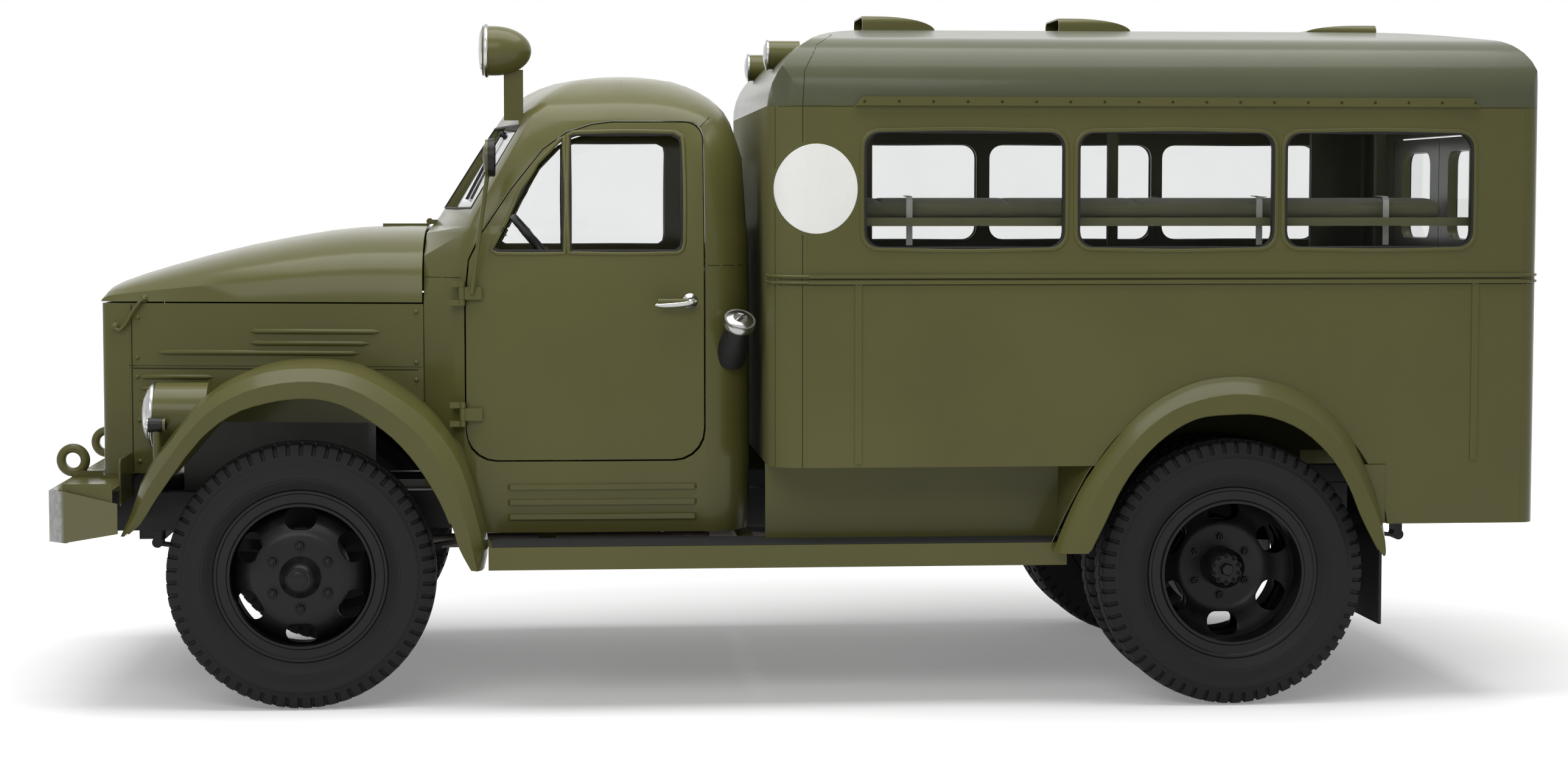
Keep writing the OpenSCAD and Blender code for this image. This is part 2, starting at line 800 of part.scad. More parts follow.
module rear_axle() {
    stub_y = rear_track / 2 - dual_pitch / 2 - tyre_w / 2;
    color("#1d1d1c") {
        across(wheelbase, -stub_y, stub_y, tyre_r, rear_tube_r);
        pair() across(wheelbase, stub_y - over, rear_track / 2 + rear_stub_out, tyre_r, rear_stub_r);
        translate([wheelbase, 0, tyre_r]) sphere(diff_r);
    }
}

module engine() {
    color("#4a4a46") {
        slab(engine_x0, engine_x1, -engine_half_w, engine_half_w, cross_z1 + seat_gap, engine_z1);
        slab(engine_x1 - over, gearbox_x1, -gearbox_half_w, gearbox_half_w, cross_z1 + seat_gap,
            rail_z1 - over);
    }
}

module radiator() {
    color("#262625")
        slab(radiator_x0, radiator_x1, -radiator_half_w, radiator_half_w, cross_z1 + seat_gap, radiator_z1);
}

module propeller_shaft() {
    color("#1d1d1c")
        rod([gearbox_x1 + seat_gap, 0, rail_z0 + rail_t], [wheelbase - diff_r - 2 * seat_gap, 0, tyre_r],
            shaft_r);
}

module exhaust() {
    color("#3a3632") {
        along(exhaust_x0, cross_x(1) + exhaust_tail, exhaust_y, exhaust_z, exhaust_r);
        along(muffler_x0, muffler_x0 + muffler_len, exhaust_y, exhaust_z, muffler_r);
        for (i = [0, 1]) translate([cross_x(i), 0, 0])
            slab(hanger_t, 2 * hanger_t, exhaust_y - hanger_t, exhaust_y + hanger_t, exhaust_z,
                mid_cross_z0 - seat_gap);
    }
}

function grille_path(t) = let (x = grille_front_x + grille_corner_r, r = grille_corner_r - t)
    concat([[grille_rear_x, -hood_y(grille_rear_x) + t]],
        arc(x, -hood_y(x) + grille_corner_r, r, r, 270, 180, bend_n));

module grille() {
    outer = grille_path(0);
    inner = grille_path(grille_t);
    pitch = (grille_slot_z1 - grille_slot_z0) / grille_slots;
    color("#5c5a34") difference() {
        plan_cut(grille_z0, hood_edge_z - panel_gap) polygon(concat(outer, [for (p = flip(outer))
            [p[0], -p[1]]],
            [for (p = inner) [p[0], -p[1]]], flip(inner)));
        for (i = [0:grille_slots - 1]) translate([0, 0, grille_slot_z0 + i * pitch])
            cross_cut(grille_front_x - over, grille_front_x + grille_t + over)
                rounded(-grille_slot_half_w, grille_slot_half_w, 0, grille_slot_h, grille_slot_r);
    }
}

module hood_side() {
    x0 = grille_rear_x + seat_gap;
    x1 = cowl_x - seat_gap;
    a = atan2(hood_y(x1) - hood_y(x0), x1 - x0);
    l = (x1 - x0 - side_t * sin(a)) / cos(a);
    top_z = hood_edge_z - panel_gap;
    translate([x0, -hood_y(x0), 0]) rotate([0, 0, -a]) {
        difference() {
            side_cut(0, side_t) polygon([[0, side_nose_z], [side_nose_len, side_nose_z],
                [2 * side_nose_len, side_low_z],
                [l, side_low_z], [l, top_z], [0, top_z]]);
            slab(-over, l + over, -over, side_seam_d, side_seam_z, side_seam_z + side_seam_h);
        }
        for (s = louvre_shares) translate([0, 0, mix(side_low_z, top_z, s[2])]) {
            along(s[0] * l, s[1] * l, 0, 0, louvre_r);
            rod([s[0] * l, 0, 0], [s[0] * l - louvre_tip, 0, 0], louvre_r, louvre_end_r);
            rod([s[1] * l, 0, 0], [s[1] * l + louvre_tip, 0, 0], louvre_r, louvre_end_r);
        }
    }
}

module hood_sides() {
    color("#5c5a34") pair() hood_side();
}

function hood_ring(s) = let (x = mix(grille_front_x, cowl_x - panel_gap, s[0]), w = hood_y(x),
    rise = (hood_crown_z - hood_edge_z) * s[1], low = max(rise - hood_t, rise * hood_low_share))
    concat([for (p = arc(0, hood_edge_z, w, rise, 0, 180, hood_n, hood_power)) [x, p[0], p[1]]],
        [for (p = arc(0, hood_edge_z, w - hood_t, low, 180, 0, hood_n, hood_power)) [x, p[0], p[1]]]);

module hood() {
    color("#5c5a34") {
        skin([for (s = smooth(hood_shares, hood_steps)) hood_ring(s)], true);
        difference() {
            union() {
                slab(cowl_x - strap_len, hood_pin_x, -strap_half_w, strap_half_w, hood_crown_z - over,
                    hood_crown_z + strap_t);
                across(hood_pin_x, -strap_half_w, strap_half_w, hood_pin_z, hood_barrel_r);
            }
            across(hood_pin_x, -2 * strap_half_w, 2 * strap_half_w, hood_pin_z, hood_pin_r + pin_gap);
            slab(cowl_x - panel_gap, cowl_x + 2 * hood_barrel_r, -2 * strap_half_w, 2 * strap_half_w,
                hood_crown_z - 2 * over, hood_pin_z - hood_barrel_r);
        }
    }
}

module hood_hinge() {
    color("#5c5a34") {
        across(hood_pin_x, -hood_lug_y - hood_lug_t, hood_lug_y + hood_lug_t, hood_pin_z, hood_pin_r);
        difference() {
            pair() slab(hood_pin_x - hood_pin_r, hood_pin_x + 3 * hood_lug_t, hood_lug_y - over,
                hood_lug_y + hood_lug_t, hood_crown_z + panel_gap, hood_pin_z + hood_pin_r);
            cab_solid(-seat_gap);
        }
    }
}

function inboard_y(x) = x < cowl_x ? hood_y(x) + seat_gap :
    mix(hood_rear_w + seat_gap, cab_half_w - fender_in, min((x - cowl_x) / fender_corner, 1));

// Outer half of a fender section, from the lip over the crease to the crest and in to the hood side
function fender_path(s, t) = let (a = fender_arch_r, k = t / norm([s[2], s[3]]), crest = [s[2] * (a - k),
    s[3] * (a - k)],
    lip = [s[0] * a, s[1] * a], crease = mix(lip, crest, fender_crease_share), bend = mix(lip, crest,
        fender_round_share),
    ys = [fender_lip_y - t, fender_crease_y - t, fender_round_y - t, fender_crest_y - t,
        inboard_y(crest[0])],
    ps = [lip, crease, bend, crest, crest])
    [for (i = [0:4]) [ps[i][0], -ys[i], tyre_r + ps[i][1]]];

function fender_ring(s) = concat(fender_path(s, 0), flip(fender_path(s, fender_t)));

module front_fenders() {
    color("#5c5a34") pair() skin([for (s = smooth(fender_shares, fender_steps)) flip(fender_ring(s))],
        true);
}

// The space under a fender's crest and just above its skin
function fender_fill_ring(s) = let (n = [s[2], 0, s[3]] / norm([s[2], s[3]]), p = fender_path(s, 0),
    far = [p[3][0], -fender_lip_y, p[3][2]], near = p[4])
    [far + n * seat_gap, near + n * seat_gap, near - n * 2 * lamp_r, far - n * 2 * lamp_r];

module headlamps() {
    color("#5c5a34") pair() difference() {
        union() {
            along(lamp_x, lamp_x + lamp_depth, -lamp_y, lamp_z, lamp_r);
            translate([lamp_x + lamp_rim_in, -lamp_y, lamp_z]) rotate([0, 90, 0]) rotate_extrude()
                translate([lamp_r - lamp_rim_r / 2, 0]) circle(lamp_rim_r);
            along(side_lamp_x, side_lamp_x + side_lamp_len, -side_lamp_y, side_lamp_z, side_lamp_r);
            translate([side_lamp_x + side_lamp_len / 2, -side_lamp_y, side_lamp_z - side_lamp_stalk])
                cylinder(h = side_lamp_stalk, r = side_lamp_stalk_r);
        }
        skin([for (s = smooth(fender_shares, fender_steps)) flip(fender_fill_ring(s))], true);
    }
}

module lamp_lenses() {
    color("#d8dcd8") {
        pair() translate([lamp_x - seat_gap, lamp_y, lamp_z]) dome(lamp_lens_r, lamp_lens_out);
        pair() translate([side_lamp_x - seat_gap, side_lamp_y, side_lamp_z])
            dome(side_lamp_r - roof_lens_in, roof_lens_out);
        translate([spot_x0 - seat_gap, -mast_y, spot_z]) dome(spot_r - spot_lens_in, spot_lens_out);
        pair() translate([roof_lamp_x - seat_gap, roof_lamp_y, roof_lamp_z])
            dome(roof_lamp_r - roof_lens_in, roof_lens_out);
    }
}

module running_boards() {
    color("#3c3b2a") pair() {
        slab(board_x0, board_x1, -board_y1, -board_y0, board_z1 - board_t, board_z1);
        slab(board_x0, board_x1, -board_y1, -board_y1 + board_lip_t, board_lip_z, board_z1);
        for (s = bracket_shares) translate([mix(board_x0, board_x1, s), 0, 0]) {
            slab(-bracket_half, bracket_half, -board_y0 - over, -rail_y1 - seat_gap, board_z1 - board_t,
                board_z1);
            slab(-bracket_half, bracket_half, -rail_y1 - seat_gap - bracket_t, -rail_y1 - seat_gap,
                board_z1 - board_t,
                rail_z0 + bracket_rise);
        }
    }
}

function cab_rows() = concat([for (i = [0:cab_plain_rows - 1]) cab_shares[i]],
    smooth([for (i = [cab_plain_rows:len(cab_shares) - 1]) cab_shares[i]], cab_roof_steps));

// A corner at b between the ways to a and c, rounded over a length r of each
function bend(a, b, c, r, n) = let (l = min(r, norm(a - b) / 2, norm(c - b) / 2), p = b + (a - b)
    * l / norm(a - b),
    q = b + (c - b) * l / norm(c - b))
    [for (i = [0:n]) mix(mix(p, b, i / n), mix(b, q, i / n), i / n)];

function cab_ring(s, t) = let (z = cab_z0 + s[0] * cab_h - s[8] * t - (s[0] == 0 && t > 0 ? over : 0),
    fx = cowl_x + s[1] * cab_len + t, fy = max(s[2] * cab_half_w - t, cab_half_w * cab_least_share),
    px = cowl_x + s[3] * cab_len + t, py = s[4] * cab_half_w - t, w = s[5] * cab_half_w - t,
    rx = cowl_x + s[6] * cab_len - t, r = max(s[7] * cab_half_w - t, cab_half_w * cab_corner_least_share),
    front = [fx, -fy], pillar = [px, -py], side = [mix(px, rx, cab_mid_share), -w],
    half = concat([front], bend(front, pillar, side, pillar_r, pillar_n), [side],
        arc(rx - r, -w + r, r, r, 270, 360, cab_corner_n)))
    concat([for (p = half) [p[0], p[1], z]], [for (p = flip(half)) [p[0], -p[1], z]]);

// Half the cab width at a station and height share below the belt line
function cab_y(x, h) = let (px = cowl_x + lookup(h, [for (s = cab_shares) [s[0], s[3]]]) * cab_len,
    py = lookup(h, [for (s = cab_shares) [s[0], s[4]]]), w = lookup(h, [for (s = cab_shares) [s[0], s[5]]]),
    side_x = mix(px, cab_rear_x, cab_mid_share))
    cab_half_w * (x < side_x ? mix(py, w, (x - px) / (side_x - px)) : w);

module cab_solid(t) {
    skin([for (s = cab_rows()) cab_ring(s, t)]);
}

module cab_wall_solid() {
    difference() {
        cab_solid(0);
        cab_solid(cab_wall);
    }
}

module door_outline(g) {
    x0 = door_x0 + g;
    x1 = door_x1 - g;
    z0 = door_z0 + g;
    z1 = door_z1 - g;
    r = door_corner_r;
    polygon(concat(arc(x0 + r, z0 + r, r, r, 270, 180, bend_n),
        [for (s = door_slant_shares) [mix(x0, x1, s[0]), mix(z0, z1, s[1])]],
        arc(x1 - door_top_r, z1 - door_top_r, door_top_r, door_top_r, 90, 0, bend_n),
        arc(x1 - r, z0 + r, r, r, 0, -90, bend_n)));
}

function door_point(s) = [mix(door_x0, door_x1, s[0]), mix(door_z0, door_z1, s[1])];

module door_window(g) {
    mid = door_point(door_window_mid_shares);
    difference() {
        polygon([for (s = door_window_shares) mix(mid, door_point(s), 1 - g / window_reach)]);
        translate([mix(door_x0, door_x1, vent_post_shares[0]) - g, door_z0])
            square([(door_x1 - door_x0) * (vent_post_shares[1] - vent_post_shares[0]) + 2 * g,
                door_z1 - door_z0]);
    }
}

module screen_outline(g) {
    h = screen_z1 - screen_z0;
    for (m = [-1, 1]) scale([m, 1]) translate([0, screen_z0])
        polygon([[screen_y0 + g, g], [screen_y1 - g, g],
        [screen_y1 * screen_top_share - g, h - g], [screen_y0 + g, h - g]]);
}

module back_outline(g) {
    rounded(-back_window_half + g, back_window_half - g, back_window_z0 + g, back_window_z1 - g, screen_r);
}

module cab_shell() {
    mid_screen = mix(cowl_x, cab_rear_x, cab_centre_share);
    color("#5c5a34") {
        difference() {
            cab_wall_solid();
            side_cut(-cab_half_w * 2, cab_half_w * 2) door_outline(-panel_gap / 2);
            cross_cut(cowl_x - over, mid_screen) screen_outline(0);
            cross_cut(mid_screen, cab_rear_x + over) back_outline(0);
            slab(cowl_x - over, cab_rear_x + over, -tunnel_half_w, tunnel_half_w, cab_z0 - over, tunnel_z);
            slab(cowl_x - over, wheel_house_x, -cab_half_w * 2, cab_half_w * 2, cab_z0 - over,
                wheel_house_z);
        }
        pair() for (h = rib_shares) {
            z = cab_z0 + h * cab_h;
            line = [for (x = [rib_x0, (rib_x0 + rib_x1) / 2, rib_x1]) [x, -cab_y(x, h)]];
            translate([0, 0, z - rib_r]) linear_extrude(2 * rib_r)
                polygon(concat([for (p = line) p + [0, over]], [line[2], line[2] - [rib_r, rib_r],
                    line[1] - [0, rib_r], line[0] - [-rib_r, rib_r], line[0]]));
        }
        slab(mast_x - mast_w / 2, mast_x + mast_w / 2, -mast_y - mast_t / 2, -mast_y + mast_t / 2,
            mast_foot_z,
            mast_z);
        pair() for (z = door_hinge_zs) translate([door_pin_x, -door_pin_y, z]) {
            translate([0, 0, -door_barrel_h / 2 - lug_h - lug_gap])
                cylinder(h = door_barrel_h + 2 * lug_h + 2 * lug_gap, r = door_pin_r);
            for (k = [-1, 1]) translate([0, 0, k * (door_barrel_h / 2 + lug_h / 2 + lug_gap) - lug_h / 2]) {
                cylinder(h = lug_h, r = door_barrel_r);
                slab(-lug_back, 0, -door_leaf_t / 2, lug_in, 0, lug_h);
            }
        }
    }
}

module cab_floor() {
    color("#4c4b30") intersection() {
        cab_solid(cab_wall + seat_gap);
        slab(cowl_x, cab_rear_x, -cab_half_w, cab_half_w, rail_z1 + seat_gap, cab_floor_z);
    }
}

module cab_glass() {
    mid_screen = mix(cowl_x, cab_rear_x, cab_centre_share);
    color("#c9d6d2") intersection() {
        difference() {
            cab_solid(glass_in);
            cab_solid(glass_in + glass_t);
        }
        union() {
            cross_cut(cowl_x - over, mid_screen) screen_outline(seat_gap);
            cross_cut(mid_screen, cab_rear_x + over) back_outline(seat_gap);
        }
    }
}

module door(s) {
    scale([1, s, 1]) {
        difference() {
            intersection() {
                cab_wall_solid();
                side_cut(-cab_half_w * 2, 0) door_outline(panel_gap / 2);
            }
            side_cut(-cab_half_w * 2, 0) door_window(0);
        }
        for (z = door_hinge_zs) translate([door_pin_x, -door_pin_y, z - door_barrel_h / 2]) difference() {
            union() {
                cylinder(h = door_barrel_h, r = door_barrel_r);
                slab(0, door_leaf_len, -door_leaf_t / 2, door_leaf_in, 0, door_barrel_h);
            }
            translate([0, 0, -over]) cylinder(h = door_barrel_h + 2 * over, r = door_pin_r + pin_gap);
            slab(-door_barrel_r, door_barrel_r + panel_gap, door_barrel_r, 2 * door_leaf_in, -over,
                door_barrel_h + over);
        }
        along(handle_x0, handle_x0 + handle_len, -cab_half_w - handle_out, handle_z, handle_r);
        across(handle_x0 + handle_len - handle_r, -cab_half_w - handle_out, -cab_half_w + handle_r,
            handle_z, handle_r);
    }
}

module door_left() {
    color("#5c5a34") door(1);
}

module door_right() {
    color("#5c5a34") door(-1);
}

module door_pane(s) {
    scale([1, s, 1]) intersection() {
        difference() {
            cab_solid(glass_in);
            cab_solid(glass_in + glass_t);
        }
        side_cut(-cab_half_w * 2, 0) door_window(seat_gap);
    }
}

module door_glass_left() {
    color("#c9d6d2") door_pane(1);
}

module door_glass_right() {
    color("#c9d6d2") door_pane(-1);
}

module mirror_arm() {
    mid_z = mirror_z0 + mirror_h / 2;
    color("#1d1d1c") {
        rod([door_pin_x + door_leaf_len / 2, -door_pin_y - door_leaf_t / 2 - arm_r - seat_gap,
            door_hinge_zs[1]],
            [mirror_x, -mirror_y, mid_z], arm_r);
        along(mirror_x - mirror_t / 2, mirror_x + mirror_t / 2, -mirror_y, mid_z, mirror_h / 2);
    }
}

module dashboard() {
    x0 = cowl_x + cab_wall + seat_gap;
    color("#4c4b30") side_cut(-dash_half_w, dash_half_w)
        polygon([[x0, dash_z0], [mix(x0, dash_x1, dash_slope_share), dash_z0],
        [dash_x1, mix(dash_z0, dash_z1, dash_slope_share)], [dash_x1, dash_z1], [x0, dash_z1]]);
}

module bench_seat() {
    color("#3a3226") {
        slab(bench_x0, bench_x1, -bench_half_w, bench_half_w, cab_floor_z + seat_gap, bench_z1);
        slab(bench_x1 - over, bench_back_x, -bench_half_w, bench_half_w, bench_z0, bench_top_z);
    }
}

module steering_wheel() {
    column_z = steer_z - (steer_x - column_x) * tan(90 - steer_tilt);
    color("#1d1d1c") {
        translate([steer_x, wheel_y, steer_z]) rotate([0, steer_tilt, 0]) {
            rotate_extrude() translate([steer_r, 0]) circle(steer_tube_r);
            cylinder(h = 2 * column_r, r = 2 * column_r, center = true);
            for (a = [0, 120, 240]) rotate([0, 90, a]) cylinder(h = steer_r, r = steer_tube_r / 2);
        }
        rod([column_x, wheel_y, column_z], [steer_x, wheel_y, steer_z], column_r);
    }
}

module searchlight() {
    color("#5c5a34") difference() {
        translate([spot_x0, -mast_y, spot_z]) rotate([0, 90, 0]) {
            rotate_extrude() polygon(concat([[0, 0], [spot_r, 0]],
                arc(0, spot_len * spot_band_share, spot_r, spot_len * (1 - spot_band_share), 0, 90,
                    curve_n)));
            rotate_extrude() translate([spot_r, 2 * spot_rim_r]) circle(spot_rim_r);
        }
        slab(mast_x - mast_w / 2 - seat_gap, mast_x + mast_w / 2 + seat_gap,
            -mast_y - mast_t / 2 - seat_gap,
            -mast_y + mast_t / 2 + seat_gap, mast_foot_z, mast_z + seat_gap);
    }
}

module fuel_filler() {
    d = (filler_top - filler_foot) / norm(filler_top - filler_foot);
    color("#a8a8a2") {
        difference() {
            union() {
                rod(filler_foot, filler_top, filler_neck_r);
                rod(filler_foot, filler_foot + d * filler_flange_h, filler_flange_r);
            }
            cab_solid(-seat_gap);
        }
        rod(filler_top, filler_top + d * filler_cap_h, filler_cap_r);
    }
}

// Plan of the body with round corners, drawn in by t
module body_plan(t) {
    r = rear_corner_r;
    half = concat(arc(body_rear_x - r, body_half_w - r, r - t, r - t, 0, 90, bend_n),
        arc(body_front_x + corner_r, body_half_w - corner_r, corner_r - t, corner_r - t, 90, 180, curve_n));
    polygon(concat(half, [for (p = flip(half)) [p[0], -p[1]]]));
}

module body_floor() {
    color("#4c4b30") difference() {
        union() {
            plan_cut(floor_z - floor_t, floor_z) body_plan(body_wall + seat_gap);
            for (s = sill_shares) translate([body_x(s), 0, 0])
                slab(-sill_half, sill_half, -skirt_y + skirt_t, skirt_y - skirt_t, rail_z1 + seat_gap,
                    floor_z - floor_t);
            pair() intersection() {
                side_cut(box_y, body_half_w - body_wall - seat_gap) translate([wheelbase, tyre_r])
                    circle(box_r);
                slab(wheelbase - box_r, wheelbase + box_r, 0, body_half_w, floor_z - floor_t, floor_z
                    + box_r);
            }
        }
        pair() side_cut(box_y + box_t, body_half_w) translate([wheelbase, tyre_r]) circle(box_r - box_t);
    }
}

module side_outline() {
    x0 = side_x0 + seat_gap;
    x1 = side_x1 - seat_gap;
    top_z = gutter_z - seat_gap;
    polygon([[x0, sill_z], [low_sill_x0, sill_z], [low_sill_x0, low_sill_z], [x1, low_sill_z], [x1, top_z],
        [x0, top_z]]);
}

module body_sides() {
    wall_y = body_half_w - body_wall;
    color("#5c5a34") pair() difference() {
        union() {
            side_cut(wall_y, body_half_w) side_outline();
            for (k = [0, 1]) translate([0, 0, bead_z + k * bead_pitch])
                slab(side_x0 + bead_out, side_x1 - bead_out, wall_y + bead_out, body_half_w + bead_out, 0,
                    bead_h);
            for (s = strip_shares) translate([body_x(s), 0, 0])
                slab(-strip_half_w, strip_half_w, wall_y + bead_out, body_half_w + strip_out, sill_z
                    + strip_half_w, bead_z);
        }
        across(wheelbase - arch_lead, wall_y - body_wall, body_half_w + body_wall, arch_z, arch_r);
        for (w = window_shares) side_cut(wall_y - body_wall, body_half_w + body_wall)
            rounded(body_x(w[0]), body_x(w[1]), window_sill_z, window_sill_z + window_h, window_r);
    }
}

module body_front() {
    color("#5c5a34") plan_cut(sill_z, gutter_z - seat_gap) intersection() {
        difference() {
            body_plan(0);
            body_plan(body_wall);
        }
        translate([body_front_x - over, -body_half_w - over])
            square([corner_r + over, 2 * body_half_w + 2 * over]);
    }
}

module body_rear() {
    color("#5c5a34") {
        difference() {
            plan_cut(low_sill_z, gutter_z - seat_gap) intersection() {
                difference() {
                    body_plan(0);
                    body_plan(body_wall);
                }
                translate([side_x1, -body_half_w - over])
                    square([rear_corner_r + over, 2 * body_half_w + 2 * over]);
            }
            slab(side_x1, body_rear_x + over, -doorway_half_w, doorway_half_w, doorway_z0, doorway_z1);
            slab(side_x1, body_rear_x - body_wall, -rail_y1 - over, rail_y1 + over, low_sill_z - over,
                rail_z1 + over);
        }
        pair() for (s = rear_hinge_shares) translate([rear_pin_x, -rear_pin_y, mix(doorway_z0, doorway_z1,
            s)]) {
            translate([0, 0, -rear_barrel_h / 2 - lug_h - lug_gap])
                cylinder(h = rear_barrel_h + 2 * lug_h + 2 * lug_gap, r = rear_pin_r);
            for (k = [-1, 1]) translate([0, 0, k * (rear_barrel_h / 2 + lug_h / 2 + lug_gap) - lug_h / 2]) {
                cylinder(h = lug_h, r = rear_barrel_r);
                slab(-rear_pin_out - over, 0, -rear_leaf_len, -panel_gap, 0, lug_h);
                slab(-rear_pin_out + lug_gap, 0, -rear_leaf_len, 0, 0, lug_h);
            }
        }
    }
}

module roof_side_profile(t) {
    base_z = gutter_z - (t > 0 ? over : 0);
    rise = roof_top_z - gutter_z - t;
    polygon(concat([[body_rear_x - t, base_z]],
        arc(body_rear_x - dome_rear, gutter_z, dome_rear - t, rise, 0, 90, curve_n, dome_rear_power),
        arc(body_front_x + dome_front, gutter_z, dome_front - t, rise, 90, 180, curve_n),
            [[body_front_x + t, base_z]]));
}

module roof_cross_profile(t) {
    half = concat([[body_half_w - t, gutter_z - (t > 0 ? over : 0)]],
        arc(body_half_w - roof_side_run, gutter_z, roof_side_run - t, roof_side_rise - t, 0,
            roof_side_angle, curve_n,
            roof_side_power), [[roof_flat, roof_top_z - t]]);
    polygon(concat(half, [for (p = flip(half)) [-p[0], p[1]]]));
}

module roof_solid(t) {
    intersection() {
        side_cut(-body_half_w, body_half_w) roof_side_profile(t);
        cross_cut(body_front_x, body_rear_x) roof_cross_profile(t);
        plan_cut(gutter_z - over, roof_top_z + over) body_plan(t);
    }
}

module body_roof() {
    color("#555840") {
        difference() {
            roof_solid(0);
            roof_solid(roof_wall);
        }
        pair() side_cut(body_half_w - over, body_half_w + gutter_out)
            polygon([[body_x(gutter_shares[0]), gutter_z],
            [body_x(gutter_shares[1]), gutter_z], [body_x(gutter_shares[1]) - gutter_h, gutter_z
                + gutter_h],
            [body_x(gutter_shares[0]) + gutter_h, gutter_z + gutter_h]]);
    }
}

module body_glass() {
    color("#c9d6d2") pair() side_cut(body_half_w - glass_in - glass_t, body_half_w - glass_in)
        for (w = window_shares) rounded(body_x(w[0]) + seat_gap, body_x(w[1]) - seat_gap, window_sill_z
            + seat_gap,
            window_sill_z + window_h - seat_gap, window_r);
}

function rear_glass_z(i) = mix(doorway_z0, doorway_z1, rear_glass_shares[i]);

module rear_leaf(s) {
    y0 = -doorway_half_w + panel_gap;
    y1 = -panel_gap / 2;
    scale([1, s, 1]) {
        difference() {
            slab(body_rear_x - body_wall, body_rear_x, y0, y1, doorway_z0 + panel_gap,
                doorway_z1 - panel_gap);
            cross_cut(body_rear_x - 2 * body_wall, body_rear_x + over)
                rounded(y0 + rear_glass_in, y1 - rear_glass_in, rear_glass_z(0), rear_glass_z(1), window_r);
        }
        for (z = rear_hinge_shares)
            translate([rear_pin_x, -rear_pin_y, mix(doorway_z0, doorway_z1, z) - rear_barrel_h / 2])
                difference() {
                union() {
                    cylinder(h = rear_barrel_h, r = rear_barrel_r);
                    slab(-rear_pin_out + lug_gap, 0, 0, rear_leaf_len, 0, rear_barrel_h);
                    slab(-rear_pin_out - over, 0, 2 * panel_gap, rear_leaf_len, 0, rear_barrel_h);
                }
                translate([0, 0, -over]) cylinder(h = rear_barrel_h + 2 * over, r = rear_pin_r + pin_gap);
            }
    }
}

module rear_door_left() {
    color("#5c5a34") rear_leaf(1);
}

module rear_door_right() {
    color("#5c5a34") rear_leaf(-1);
}

module rear_pane(s) {
    y0 = -doorway_half_w + panel_gap + rear_glass_in;
    y1 = -panel_gap / 2 - rear_glass_in;
    scale([1, s, 1]) cross_cut(body_rear_x - glass_in - glass_t, body_rear_x - glass_in)
        rounded(y0 + seat_gap, y1 - seat_gap, rear_glass_z(0) + seat_gap, rear_glass_z(1) - seat_gap,
            window_r);
}

module rear_door_glass_left() {
    color("#c9d6d2") rear_pane(1);
}

module rear_door_glass_right() {
    color("#c9d6d2") rear_pane(-1);
}

function rear_ring(s) = let (r = rear_fender_r, lip = [wheelbase + s[0] * r, tyre_r + s[1] * r],
    crest = [wheelbase + s[2] * r, tyre_r + s[3] * r], y0 = body_half_w + seat_gap,
    m = mix(lip, crest, rear_mid_shares[0]), my = mix(y0, rear_fender_out, rear_mid_shares[1]),
    h = mix(lip, crest, rear_top_shares[0]), hy = mix(y0, rear_fender_out, rear_top_shares[1]),
    b = mix(lip, crest, rear_back_share), t = rear_fender_t)
    [[lip[0], -rear_fender_out, lip[1]], [m[0], -my, m[1]], [h[0], -hy, h[1]], [crest[0], -y0 - t / 2,
        crest[1]],
     [crest[0], -y0, crest[1]], [b[0], -y0, b[1]], [m[0], -my + t * rear_back_t_share, m[1]],
     [lip[0], -rear_fender_out + t, lip[1]]];

module rear_fenders() {
    color("#5c5a34") pair() skin([for (s = smooth(rear_shares, rear_steps)) flip(rear_ring(s))], true);
}

module body_skirts() {
    color("#4c4b30") pair()
        slab(body_front_x, board_x1, -skirt_y, -skirt_y + skirt_t, board_z1 + seat_gap, sill_z - seat_gap);
}

module mud_flaps() {
    color("#161615") pair() slab(flap_x, flap_x + flap_t, -flap_y1, -flap_y0, flap_z0,
        floor_z - floor_t - seat_gap);
}

module vent_shape(h, w) {
    intersection() {
        side_cut(-w, w) polygon(concat([[0, 0], [0, h]], arc(vent_lip, 0, vent_len - vent_lip, h, 90, 0,
            curve_n)));
        cross_cut(0, vent_len) rounded(-w, w, -2 * vent_r, h, vent_r);
    }
}

module roof_vents() {
    color("#5c5a34") for (v = vent_shares) translate([body_x(v[0]), 0, roof_top_z + seat_gap])
        translate([v[2] < 0 ? vent_len : 0, 0, 0]) scale([v[2], 1, 1]) difference() {
            vent_shape(vent_h * v[1], vent_half_w);
            translate([-over, 0, vent_t]) vent_shape(vent_h * v[1] - 2 * vent_t, vent_half_w - vent_t);
        }
}

module roof_lamps() {
    color("#5c5a34") pair() difference() {
        along(roof_lamp_x, roof_lamp_x + roof_lamp_len, roof_lamp_y, roof_lamp_z, roof_lamp_r);
        roof_solid(-seat_gap);
    }
}

function rack_z(s) = mix(floor_z, gutter_z, s);

module stretcher_racks() {
    color("#6a6a60") pair() {
        for (s = rack_level_shares) slab(rack_front_x, rack_rear_x, rack_y0, rack_y1, rack_z(s), rack_z(s)
            + rack_t);
        for (s = rack_shares) translate([mix(rack_front_x, rack_rear_x, s), 0, 0])
            slab(-rack_post / 2, rack_post / 2, rack_y0, rack_y0 + rack_post, floor_z + seat_gap, gutter_z);
    }
}

module stretcher_pads() {
    color("#6d6f52") pair() for (s = rack_level_shares) translate([0, 0, rack_z(s) + rack_t])
        slab(rack_front_x + pad_in, rack_rear_x - pad_in, rack_y0 + pad_in, rack_y1 - pad_in, seat_gap,
            pad_h);
}

module tyre_solid() {
    half = [for (s = tyre_shares) [mix(rim_r, tyre_r, s[0]), tyre_w / 2 * s[1]]];
    rotate([90, 0, 0]) rotate_extrude() polygon(concat(half, [for (p = flip(half)) [p[0], -p[1]]]));
}

